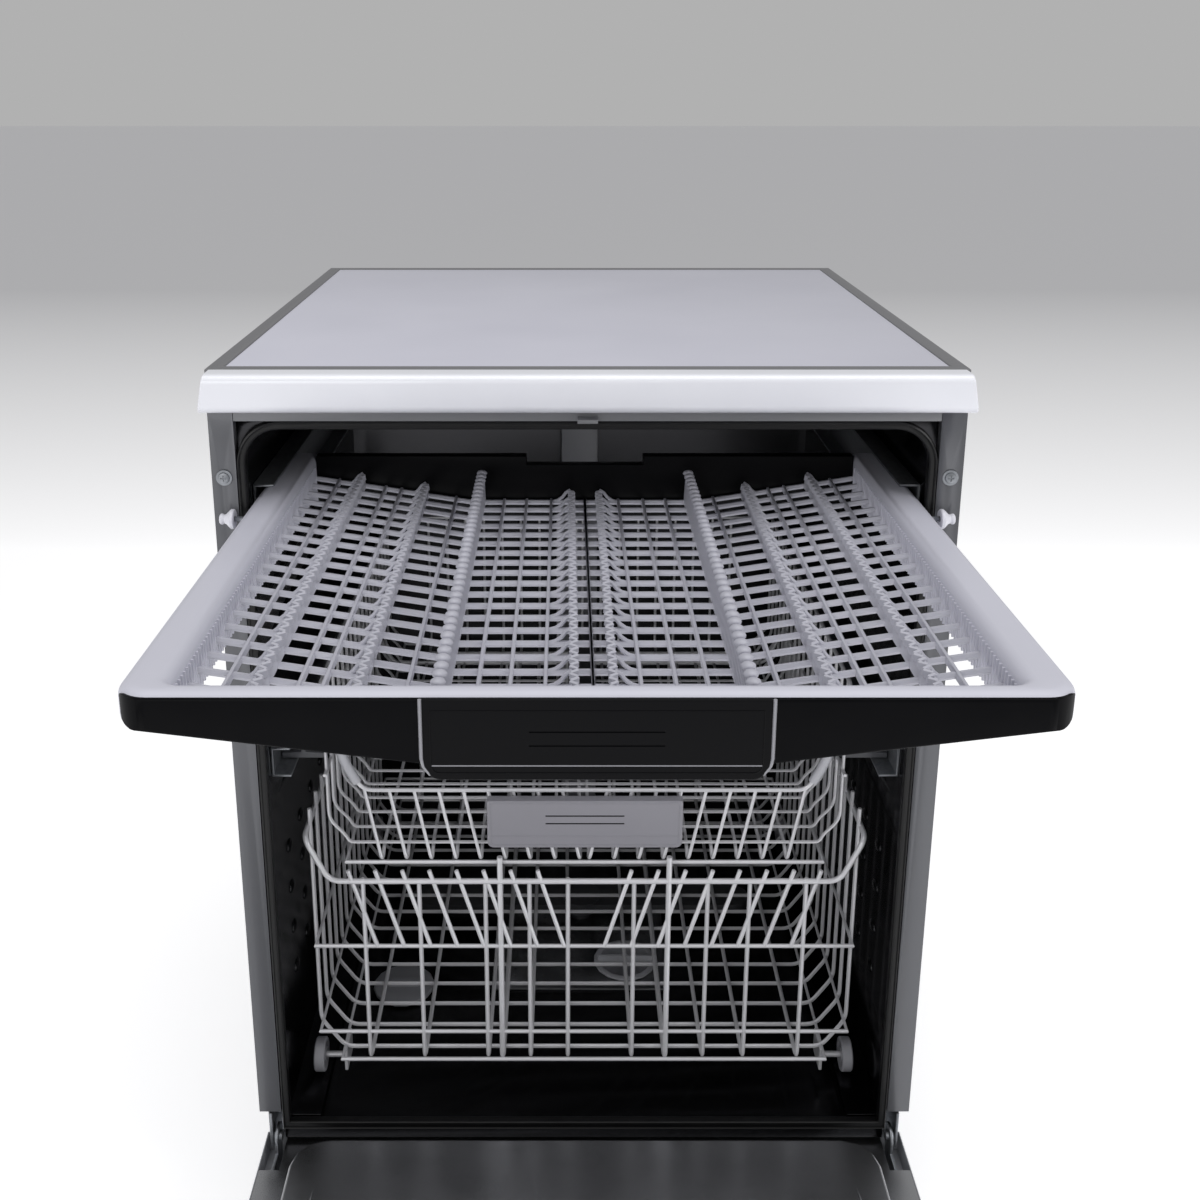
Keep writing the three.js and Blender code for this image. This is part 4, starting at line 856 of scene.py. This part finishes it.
def bent(points, radius, steps=4):
    """The path through points, with each inner corner rounded as a bent wire is."""
    places = [Vector(p) for p in points]
    path = [places[0]]
    for before, corner, after in zip(places, places[1:], places[2:]):
        reach = min(radius, (before - corner).length * 0.45, (after - corner).length * 0.45)
        start = corner + (before - corner).normalized() * reach
        end = corner + (after - corner).normalized() * reach
        for k in range(steps + 1):
            t = k / steps
            path.append(start * (1 - t) ** 2 + corner * 2 * t * (1 - t) + end * t ** 2)
    return path + [places[-1]]


def both_sides(points, radius, steps=4):
    """A bent path from the right side to the middle, run on as its mirror image."""
    half_path = [tuple(place) for place in bent(points, radius, steps)][:-1]
    return half_path + [(-x, y, z) for x, y, z in reversed(half_path)]


wire_skin = Finish("wire_skin", coat=0.25, metallic=0.25)
coating = tint("D8D8DC")
coat_patches = wire_skin.noise(40 * mm, 2)
coat_waves = wire_skin.noise(1.5 * mm, 1)
wire_skin.to("Base Color", wire_skin.blend(coat_patches, shade(coating, 0.84), coating))
wire_skin.to("Roughness", 0.32 + (coat_waves - 0.5) * 0.12)
wire_skin.bump(coat_waves, 0.01 * mm)
upper_low, upper_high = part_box("upper_basket")
thin_wire = 1.6 * mm
rim_wire = 2 * mm
upper_front = upper_low.y + rim_wire
upper_back = upper_high.y - rim_wire
upper_half = 232 * mm
upper_rim_z = upper_high.z - rim_wire
upper_floor_z = 394 * mm
upper_front_floor_z = upper_low.z + 4.2 * mm
clip_place = (213 * mm, upper_front, 484 * mm)
front_rim_half = 198 * mm
front_rim_z = 457 * mm
bend = 9 * mm
rim_path = both_sides([(upper_half, upper_back, upper_rim_z), (upper_half, upper_front, upper_rim_z),
                       clip_place, (front_rim_half, upper_front, front_rim_z),
                       (0, upper_front, front_rim_z)], bend)
upper_rim = drawn([rim_path], rim_wire, 2, closed=True)
rib_floor_z = upper_floor_z + 3 * mm
step_path = both_sides([(upper_half, 0, upper_rim_z), (upper_half, 0, 420 * mm), (218 * mm, 0, 405 * mm),
                        (214 * mm, 0, rib_floor_z), (0, 0, rib_floor_z)], bend)
upper_ribs = [[(x, y, z) for x, _, z in step_path]
              for y in spaced(upper_front + 12 * mm, upper_back - 8 * mm, 18)]
lean = 17 * mm
front_pitch = 22.4 * mm
front_line_half = 200 * mm
front_tops = [way * (front_line_half - i * front_pitch) for way in (1, -1) for i in range(9)]
upper_lines = []
for x in front_tops:
    low_x = x - math.copysign(lean, x)
    upper_lines.append(bent([(x * 0.985, upper_front, front_rim_z + 1.5 * mm),
                             (low_x, upper_front, upper_front_floor_z),
                             (low_x, upper_front + 16 * mm, upper_floor_z),
                             (low_x, upper_back, upper_floor_z), (low_x, upper_back, upper_rim_z)], bend))
base_half = 216 * mm
base_loop = [(base_half, upper_back, upper_floor_z), (base_half, upper_front, upper_front_floor_z),
             (-base_half, upper_front, upper_front_floor_z), (-base_half, upper_back, upper_floor_z)]
side_lines = [[(way * upper_half, upper_front + 2 * mm, z), (way * upper_half, upper_back, z)]
              for way in (1, -1) for z in (470 * mm, 515 * mm)]
upper_wires = joined(upper_rim, drawn(upper_ribs + upper_lines + side_lines, thin_wire, 1),
                     drawn([base_loop], rim_wire, 1, closed=True))
fitted(upper_wires, "upper_basket_wires", "upper_basket", "basket_wire", wire_skin, "upper_basket")


# Runners: grey plastic beams along the upper basket's sides, clipped to its wires. Each runs in a steel
# channel of the tub, and is hollowed on both faces.
dark_grey = moulded("dark_grey", tint("55565A"), 0.45)
runner_low = 481 * mm
runner_high = 503 * mm
runner_inner = upper_half + rim_wire / 2
runner_outer = upper_high.x
web_half = 2 * mm
web_inner = (runner_inner + runner_outer) / 2 - web_half
web_outer = (runner_inner + runner_outer) / 2 + web_half
lip = 5 * mm
lip_root = 6 * mm
runner_outline = [(runner_inner, runner_low), (runner_outer, runner_low), (runner_outer, runner_low + lip),
                  (web_outer, runner_low + lip_root), (web_outer, runner_high - lip_root),
                  (runner_outer, runner_high - lip), (runner_outer, runner_high), (runner_inner, runner_high),
                  (runner_inner, runner_high - lip), (web_inner, runner_high - lip_root),
                  (web_inner, runner_low + lip_root), (runner_inner, runner_low + lip)]
runners = mirrored(plate([runner_outline], "y", upper_front + 14 * mm, upper_back - 5 * mm, 0.8 * mm))
fitted(runners, "upper_basket_runners", "upper_basket", "basket_wire", dark_grey)


# Corner clips: pale moulded sleeves over the bends of the upper basket's front rim. They are pushed over
# the wire and hold by their spring.
pale_skin = moulded("pale_skin", tint("B4B5BB"), 0.4)
sleeve_path = bent([(226 * mm, upper_front, 528 * mm), clip_place, (203 * mm, upper_front, 465 * mm)], bend)
sleeves = mirrored(drawn([sleeve_path], 4.4 * mm, 4))
fitted(sleeves, "upper_basket_clips", "upper_basket", "pale_plastic", pale_skin)


# Upper basket handle: a grey moulded plate, clipped over the front wires. It has a fine raised border, a
# seam along its lower part and two engraved lines in its middle, shown by black strips of painted shade.
grip_low, grip_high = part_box("upper_basket_handle")
grip_round = 6 * mm
grip_grey = moulded("grip_grey", tint("8A8990"), 0.42, 0.6 * mm, 0.012 * mm)
upper_grip_outline = rounded_box((grip_low.x, grip_low.z), (grip_high.x, grip_high.z),
                                 (grip_round, grip_round, 2 * mm, 2 * mm))
upper_grip = plate([upper_grip_outline], "y", grip_low.y, grip_high.y, 1.2 * mm, 3)
grip_inset = 3.2 * mm
seam_z = grip_low.z + 12 * mm
rim_line = rounded_box((grip_low.x + grip_inset, grip_low.z + grip_inset),
                       (grip_high.x - grip_inset, grip_high.z - 2 * mm), (4 * mm, 4 * mm, mm, mm))
raised = drawn([[(x, grip_low.y, z) for x, z in rim_line]], 0.35 * mm, closed=True)
seam_path = [(grip_low.x + grip_inset, grip_low.y, seam_z), (grip_high.x - grip_inset, grip_low.y, seam_z)]
seam = drawn([seam_path], 0.3 * mm)
fitted(joined(upper_grip, raised, seam), "upper_basket_grip", "upper_basket", "grey_plastic", grip_grey,
       "upper_basket_handle")
# Painted shade: black strips, a little proud of the plate's face, stand in for the shadow inside the two
# engraved grooves.
groove_shade_half = 35 * mm
groove_shade_rise = 0.55 * mm
groove_shade_face = grip_low.y - 0.15 * mm
groove_shade_strips = joined(*[block((-groove_shade_half, groove_shade_face, z - groove_shade_rise),
                        (groove_shade_half, grip_low.y + mm, z + groove_shade_rise)) for z in (438.2 * mm, 430.6 * mm)])
fitted(groove_shade_strips, "grip_groove_shade", "upper_basket", "black_plastic", black_satin)


# Upper rails: rolled channels of zinc-plated steel, riveted to the tub's sides. The runners of the upper
# basket slide in them.
for side in sides:
    fitted_casting("upper_rail_" + side, "upper_channel_" + side, "cabinet", "zinc_steel", zinc,
                   sheet_edge, 1, 50)


# Feed duct and upper spray arm: dark moulded hollow pieces, welded from two shells. The arm hangs on a hub
# under the duct, turns by the thrust of its slanted jets, and carries a row of nozzles on each wing.
arm_skin = moulded("arm_skin", tint("3A3B3E"), 0.42)
fitted_casting("upper_feed_duct", "feed_duct_shell", "upper_basket", "black_plastic", arm_skin, 2.4 * mm, 3)
nozzle_radius = 3.2 * mm
nozzle_offset = 5 * mm
nozzle_count = 5


def spray_arm(node, face_height, first, last):
    """A spray arm with raised nozzle rings along the upper face of both wings."""
    low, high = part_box(node)
    centre_y = (low.y + high.y) / 2
    outline = [(0.8 * mm, -0.6 * mm), (1.2 * mm, 0.7 * mm), (nozzle_radius * 0.8, 0.7 * mm),
               (nozzle_radius, 0), (nozzle_radius, -0.8 * mm)]
    shells = softened(casting(node), 2 * mm, 3)
    rings = []
    for i, x in enumerate(spaced(first, last, nozzle_count)):
        for way in (1, -1):
            offset = nozzle_offset * (1 if i % 2 else -1) * way
            rings.append(lathed(outline, "z", (way * x, centre_y + offset, low.z + face_height), 14))
    return joined(shells, *rings)


upper_arm = spray_arm("upper_spray_arm", 9 * mm, 50 * mm, 182 * mm)
fitted(upper_arm, "upper_arm_shell", "upper_spray_arm", "black_plastic", arm_skin, "upper_spray_arm")


# Lower basket: welded wire with a thick rim that drops between its corners to a low front. Its front wires
# end in leaning tips above the rim, and thicker uprights carry the load.
lower_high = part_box("lower_basket")[1]
thick_wire = 2.6 * mm
rib_wire = 2 * mm
lower_front = 96.15 * mm
lower_back = 561.1 * mm
lower_half = 250 * mm
lower_floor_half = 228 * mm
lower_floor_z = 174 * mm
lower_knee_z = 205 * mm
corner_z = 412 * mm
lower_rim_half = 231 * mm
lower_rim_z = 368 * mm
tip_z = 379 * mm
lower_line_z = lower_floor_z + 3 * mm
low_tip_z = tip_z - 8 * mm
post_x = 76.5 * mm
post_top = 393 * mm


def upright(x, top):
    """A wire that comes down the front, runs back along the floor and rises behind to the rim."""
    return bent([(x, lower_front, top), (x, lower_front, lower_line_z), (x, lower_back, lower_line_z),
                 (x, lower_back, lower_rim_z)], bend)


def hoop(reach, z):
    """A wire loop round the basket at one height."""
    return [(reach, lower_back, z), (reach, lower_front, z),
            (-reach, lower_front, z), (-reach, lower_back, z)]


rim_reach = lower_half + 2 * mm
lower_rim_path = both_sides([(rim_reach, (lower_front + lower_back) / 2, corner_z),
                             (rim_reach, lower_front, corner_z), (lower_rim_half, lower_front, lower_rim_z),
                             (0, lower_front, lower_rim_z)], 11 * mm, 6)
rear_rim_path = [(x, lower_front + lower_back - y, z) for x, y, z in reversed(lower_rim_path)]
lower_rim = drawn([lower_rim_path + rear_rim_path], thick_wire, 3, closed=True)
lower_rib = both_sides([(lower_half, 0, lower_high.z - rib_wire), (lower_half, 0, lower_knee_z),
                        (lower_floor_half, 0, lower_floor_z), (0, 0, lower_floor_z)], bend)
lower_ribs = [[(x, y, z) for x, _, z in lower_rib]
              for y in spaced(lower_front + 20 * mm, lower_back - 20 * mm, 15)]
tall_wires = [upright(x, low_tip_z) for x in (201 * mm, -201 * mm, 112 * mm, -90 * mm, -15 * mm)]
short_wires = [upright(x, lower_rim_z) for x in (150 * mm, -150 * mm, 45 * mm, -50 * mm)]
posts = [upright(way * post_x, post_top) for way in (1, -1)]
tip_pitch = 24.5 * mm
tip_lean = 24 * mm
first_tip = 214 * mm
belt_z = 300 * mm
tips = [[(way * x, lower_front, tip_z), (way * (x - tip_lean), lower_front, belt_z)]
        for way in (1, -1) for x in [first_tip - i * tip_pitch for i in range(8)]]
belt_half = lower_half - 3 * mm
hoops = [hoop(lower_floor_half, lower_floor_z + 2 * mm), hoop(belt_half, lower_knee_z + 2 * mm),
         hoop(belt_half, belt_z)]
lower_wires = joined(lower_rim, drawn(lower_ribs + tall_wires + short_wires + tips, rib_wire, 1),
                     drawn(posts, thick_wire, 2), drawn(hoops, rib_wire, 1, closed=True))
axle_x = (226 * mm, 258 * mm)
lug_x = (226 * mm, 229 * mm)
lug_half = 15 * mm
lug_drop = 6 * mm
wheel_places = [row + side for row in ("front_", "rear_") for side in ("right", "left")]
axle_radius = 2.9 * mm
axles = []
for place in wheel_places:
    low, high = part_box("basket_wheel_" + place)
    centre = (low + high) / 2
    way = math.copysign(1, centre.x)
    axles.append(drawn([[(way * x, centre.y, centre.z) for x in axle_x]], axle_radius, 3))
    low_x, high_x = sorted(way * x for x in lug_x)
    lug = block((low_x, centre.y - lug_half, centre.z - lug_drop),
                (high_x, centre.y + lug_half, lower_floor_z))
    axles.append(softened(lug, 0.6 * mm))
fitted(joined(lower_wires, *axles), "lower_basket_wires", "lower_basket", "basket_wire", wire_skin,
       "lower_basket")


# Wheels of the lower basket: grey moulded wheels with a rounded tread and a sunk web. They turn on steel
# axles and roll on the tub's ledges and on the open door.
wheel_skin = moulded("wheel_skin", tint("9A9AA0"), 0.45)
wheel_bore = 3.2 * mm
web_depth = 2.5 * mm
for place in wheel_places:
    node = "basket_wheel_" + place
    low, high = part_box(node)
    half_width = (high.x - low.x) / 2
    radius = (high.z - low.z) / 2
    face = [(wheel_bore, -half_width), (6.5 * mm, -half_width), (7 * mm, web_depth - half_width),
            (radius - 4 * mm, web_depth - half_width), (radius - 3.5 * mm, -half_width),
            (radius - mm, -half_width), (radius, mm - half_width)]
    outline = face + [(reach, -across) for reach, across in reversed(face)] + face[:1]
    fitted(lathed(outline, "x", (low + high) / 2, 48), "roller_wheel_" + place, node, "grey_plastic",
           wheel_skin, node)


# Lower spray arm: two dark moulded shells, welded along their edge, with nozzles on each wing. Its hub turns
# on the sump.
lower_arm = spray_arm("lower_spray_arm", 11 * mm, 48 * mm, 178 * mm)
fitted(lower_arm, "lower_arm_shell", "lower_spray_arm", "grey_plastic", arm_skin, "lower_spray_arm")


# Spray pipe: a moulded riser, clipped to the tub's back. It feeds the upper arm and ends in a nozzle under
# the ceiling.
pipe_skin = moulded("pipe_skin", tint("8E8F94"), 0.42)
fitted_casting("spray_pipe", "riser_pipe", "cabinet", "grey_plastic", pipe_skin, 1.5 * mm)


# Door inner panel: a deep-drawn stainless sheet. Its raised field fits inside the gasket, with a slot for
# each roller and a notch for each hinge. A long bead on each side guides the wheels, and two beads cross it.
door_bright = steel("door_bright", tint("B9BABD"), 0.3, (6, 1, 1))
door_low, door_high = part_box("door_inner_panel")
guide_x = 236 * mm
guide_size = (3.5 * mm, 262 * mm, 1.8 * mm)
field_middle = (door_low.y + door_high.y) / 2
inner_panel = casting("door_inner_panel")
opening_low, opening_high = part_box("detergent_dispenser")
opening_reach = 3 * mm


def on_field_edge(edge):
    """True for the edges round the raised field, but not for those of the dispenser's opening."""
    place = middle(edge)
    inside = (opening_low.x - opening_reach < place.x < opening_high.x + opening_reach
              and opening_low.y - opening_reach < place.y < opening_high.y + opening_reach)
    return min(corner.co.z for corner in edge.verts) > door_high.z - 0.1 * mm and not inside


field_round = 2.6 * mm
with editing(inner_panel, "EDGE", on_field_edge):
    bpy.ops.mesh.bevel(offset=field_round, segments=5, affect="EDGES")
softened(inner_panel, 0.25 * mm, 1, 50)
modified(inner_panel, "WEIGHTED_NORMAL")
guides = mirrored(dome((guide_x, field_middle, door_high.z), guide_size))
cross_bead_size = (150 * mm, 3.5 * mm, 1.4 * mm)
cross_beads = [dome((0, y, door_high.z), cross_bead_size) for y in (door_low.y + 62 * mm, -70 * mm)]
fitted(joined(inner_panel, guides, *cross_beads), "door_inner_sheet", "door", "stainless", door_bright,
       "door_inner_panel")


# Door outer panel: a folded sheet of silver-painted steel, closed to the front and open behind, that hangs
# on the inner panel's flange.
silver_paint = enamel("silver_paint", tint("A9ABB0"), 0.34)
fitted_casting("door_outer_panel", "door_outer_sheet", "door", "door_steel", silver_paint, sheet_edge, 2, 50)


# Control panel: a black moulded fascia across the top of the door, with a recess for the fingers in its
# middle. A fine raised edge frames the window of its display.
fascia = softened(casting("control_panel"), mm, 3, 50)
panel_low, panel_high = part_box("control_panel")
window_inset = 14 * mm
window_low = (130 * mm, panel_low.y + window_inset)
window_high = (205 * mm, panel_high.y - window_inset)
window_frame = rounded_box(window_low, window_high, (3 * mm,) * 4, 4)
window_edge = drawn([[(x, y, panel_low.z) for x, y in window_frame]], 0.5 * mm, closed=True)
window_edge.data.transform(Matrix.Translation((0, 0, 0.1 * mm)))
fitted(joined(fascia, window_edge), "door_fascia", "door", "black_plastic", black_satin, "control_panel")


# Buttons: silver-lacquered round caps with a shallow dish turned into their face. They are pushed in from
# behind, and a collar holds each behind the panel.
button_radius = 9 * mm
button_edge = 0.8 * mm
dish_depth = 0.5 * mm
collar_depth = 1.5 * mm
for button in ("power_button", "start_button"):
    low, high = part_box(button)
    centre = Vector(((low.x + high.x) / 2, (low.y + high.y) / 2, 0))
    collar_radius = (high.x - low.x) / 2
    face_z = low.z
    collar_z = face_z + 5.1 * mm
    outline = [(0, face_z + dish_depth), (5.4 * mm, face_z + dish_depth), (6 * mm, face_z),
               (button_radius - button_edge, face_z), (button_radius, face_z + button_edge),
               (button_radius, collar_z), (collar_radius, collar_z), (collar_radius, collar_z + collar_depth),
               (button_radius, collar_z + collar_depth), (button_radius, high.z), (0, high.z)]
    fitted(lathed(outline, "z", centre, 40), button + "_cap", button, "silver_trim", silver_lacquer, button)


# Latch and hinges: zinc-plated steel. The latch is a fork on top of the door. Each hinge is a bracket with
# its pin on the base, and an arm with an eye that turns on the pin and lies inside the door.
fitted_casting("door_latch", "latch_fork", "door", "zinc_steel", zinc, 0.08 * mm, 1)
for side in sides:
    fitted_casting("hinge_bracket_" + side, "hinge_base_" + side, "cabinet", "zinc_steel", zinc, 0.4 * mm)
    fitted_casting("hinge_arm_" + side, "hinge_leg_" + side, "door", "zinc_steel", zinc, sheet_edge)


# Detergent dispenser: a pale moulded housing in the door's inner panel, with a raised rim. A grey lid slides
# over its cup, with ribs for the thumb, and a round cap closes the rinse-aid tank.
housing_low, housing_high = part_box("detergent_dispenser")
housing = softened(casting("detergent_dispenser"), 0.7 * mm, 2)
rim_inset = 2 * mm
rim_points = rounded_box((housing_low.x + rim_inset, housing_low.y + rim_inset),
                         (housing_high.x - rim_inset, housing_high.y - rim_inset), (5 * mm,) * 4, 5)
housing_rim = drawn([[(x, y, housing_high.z) for x, y in rim_points]], 0.9 * mm, 2, closed=True)
fitted(joined(housing, housing_rim), "dispenser_housing", "door", "pale_plastic", pale_skin,
       "detergent_dispenser")
lid_low, lid_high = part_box("detergent_lid")
lid_skin = moulded("lid_skin", tint("7C7D82"), 0.42)
lid = softened(casting("detergent_lid"), 0.6 * mm, 2)
thumb_rib = 1.2 * mm
thumb_rib_inset = 10 * mm
thumb_ribs = [softened(block((x - thumb_rib, lid_low.y + thumb_rib_inset, lid_high.z - 0.2 * mm),
                             (x + thumb_rib, lid_high.y - thumb_rib_inset, lid_high.z + thumb_rib)), 0.5 * mm)
              for x in spaced(lid_high.x - 22 * mm, lid_high.x - 6 * mm, 4)]
fitted(joined(lid, *thumb_ribs), "dispenser_lid", "detergent_lid", "grey_plastic", lid_skin, "detergent_lid")
cap_low, cap_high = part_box("rinse_aid_cap")
cap_centre = (cap_low + cap_high) / 2
cap_radius = (cap_high.x - cap_low.x) / 2
face_z = cap_high.z
plate_z = face_z - 2.4 * mm
neck_radius = 9 * mm
cap_edge = 0.7 * mm
dish_z = face_z - 0.6 * mm
outline = [(0, dish_z), (cap_radius - 3 * mm, dish_z), (cap_radius - 2.2 * mm, face_z),
           (cap_radius - cap_edge, face_z), (cap_radius, face_z - cap_edge), (cap_radius, plate_z),
           (neck_radius, plate_z), (neck_radius, cap_low.z), (0, cap_low.z)]
rinse_cap = lathed(outline, "z", (cap_centre.x, cap_centre.y, 0), 48)
bar_reach = 12 * mm
bar_half = 2 * mm
cap_bar = softened(block((cap_centre.x - bar_reach, cap_centre.y - bar_half, plate_z + mm),
                         (cap_centre.x + bar_reach, cap_centre.y + bar_half, face_z + 1.6 * mm)), cap_edge)
fitted(joined(rinse_cap, cap_bar), "rinse_aid_lid", "rinse_aid_cap", "grey_plastic", lid_skin,
       "rinse_aid_cap")


# Sump, filter and salt cap: a moulded basin under the tub's floor, covered by a stainless plate with rows of
# pressed studs. A pale filter cylinder stands in the plate, and beside it is the salt cap.
basin_skin = moulded("basin_skin", tint("2C2D30"), 0.5)
fitted_casting("sump", "sump_basin", "cabinet", "base_plastic", basin_skin, mm)
plate_low, plate_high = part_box("filter_plate")
sieve_bright = steel("sieve_bright", tint("98999C"), 0.34)
filter_low, filter_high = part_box("filter_cylinder")
filter_centre = (filter_low + filter_high) / 2
filter_room = 42 * mm
hub_room = 26 * mm
hub_y = 386 * mm
sieve_margin = 12 * mm
sieve_count = 17
studs = []
for y in spaced(plate_low.y + sieve_margin, plate_high.y - sieve_margin, sieve_count):
    for x in spaced(plate_low.x + sieve_margin, plate_high.x - sieve_margin, sieve_count):
        from_filter = math.hypot(x - filter_centre.x, y - filter_centre.y)
        if from_filter > filter_room and math.hypot(x, y - hub_y) > hub_room:
            studs.append(Vector((x, y, 0)))
stud = [(0, 0.35 * mm), (1.4 * mm, 0.35 * mm), (2.2 * mm, -0.1 * mm)]
sieve = copied(lathed(stud, "z", studs[0] + Vector((0, 0, plate_high.z)), 10),
               *[place - studs[0] for place in studs[1:]])
fitted_casting("filter_plate", "sieve_plate", "cabinet", "stainless", sieve_bright, sheet_edge, 1, 50)
fitted(sieve, "sieve_studs", "cabinet", "stainless", sieve_bright)
fitted_casting("filter_cylinder", "filter_cup", "filter_cylinder", "pale_plastic", pale_skin, 0.8 * mm)
salt_skin = moulded("salt_skin", tint("8A8B90"), 0.42)
fitted_casting("salt_cap", "salt_lid", "salt_cap", "grey_plastic", salt_skin, mm, 3)


# Base: a moulded pan that carries the machine's weight, with the pumps, the water softener and a cast
# counterweight inside it. It hangs between the side panels and stands on four screwed feet.
foot_rubber = moulded("foot_rubber", tint("1B1B1D"), 0.55)
cast_iron = moulded("cast_iron", tint("4A4A4C"), 0.75, 3 * mm, 0.2 * mm, 0.3)
fitted_casting("base_pan", "base_tray", "cabinet", "base_plastic", basin_skin, 1.2 * mm)
fitted_casting("kickplate", "kick_sheet", "cabinet", "cabinet_paint", cabinet_enamel, 0.8 * mm)
thread_turns = 9
thread_depth = 0.9 * mm
thread_rise = 0.8 * mm
for place in ("front_right", "front_left", "rear_right", "rear_left"):
    low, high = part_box("foot_" + place)
    centre = (low + high) / 2
    radius = (high.x - low.x) / 2
    stem = radius / 3
    outline = [(0, low.z), (radius - 1.5 * mm, low.z), (radius, low.z + 1.5 * mm), (radius, low.z + 4.5 * mm),
               (radius - 2 * mm, low.z + 6.5 * mm), (stem + 2 * mm, low.z + 10 * mm)]
    for i in range(thread_turns):
        thread_z = low.z + 12 * mm + i * (high.z - low.z - 13 * mm) / thread_turns
        outline += [(stem, thread_z), (stem - thread_depth, thread_z + thread_rise)]
    outline += [(stem, high.z), (0, high.z)]
    foot = lathed(outline, "z", (centre.x, centre.y, 0), 36)
    fitted(foot, "levelling_foot_" + place, "cabinet", "foot_plastic", foot_rubber, "foot_" + place)
fitted_casting("counterweight", "cast_weight", "cabinet", "cast_weight", cast_iron, 2 * mm, 3)
fitted_casting("circulation_pump", "wash_pump", "cabinet", "base_plastic", basin_skin, 2 * mm, 3)
fitted_casting("drain_pump", "outlet_pump", "cabinet", "grey_plastic", wheel_skin, 1.5 * mm, 3)
fitted_casting("softener_tank", "softener_body", "cabinet", "pale_plastic", pale_skin, 2.5 * mm, 3)


# Back panel: galvanised sheet, screwed to the side panels along its edges. A large sunk field, with a raised
# one inside it, stiffens the sheet.
back_low, back_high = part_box("back_panel")
galvanised = Finish("galvanised", metallic=0.85)
crystals_per_metre = 150.0
grains = {"Vector": galvanised.place, "Scale": crystals_per_metre}
crystals = galvanised.add("ShaderNodeTexVoronoi", grains, output="Distance")
stain = galvanised.noise(120 * mm, 4)
galvanised.to("Base Color", galvanised.blend(crystals, tint("9A9DA1"), tint("A9ACB0")))
galvanised.to("Roughness", 0.36 + crystals * 0.16 + (stain - 0.5) * 0.12)
galvanised.bump(crystals, 0.003 * mm)
back_sheet = casting("back_panel")
field_steps = ((30 * mm, 0), (6 * mm, -1.2 * mm), (60 * mm, 0), (4 * mm, 0.9 * mm))
with editing(back_sheet, "FACE", lambda face: face.normal.y > 0.9 and face.calc_area() > large_area):
    for inset, rise in field_steps:
        bpy.ops.mesh.inset(thickness=inset, depth=rise)
softened(back_sheet, sheet_edge, 2, 50)
head_inset = 22 * mm
head_places = [Vector((way * (back_high.x - 8 * mm), 0, z)) for way in (1, -1)
               for z in spaced(back_low.z + head_inset, back_high.z - head_inset, 5)]
head = [(0, -0.1 * mm), (3.4 * mm, -0.1 * mm), (4 * mm, -0.5 * mm), (4 * mm, -0.9 * mm), (0, -0.9 * mm)]
heads = copied(lathed(head, "y", head_places[0] + Vector((0, back_high.y, 0)), 20),
               *[place - head_places[0] for place in head_places[1:]])
fitted(joined(back_sheet, heads), "back_sheet", "cabinet", "zinc_steel", galvanised, "back_panel")
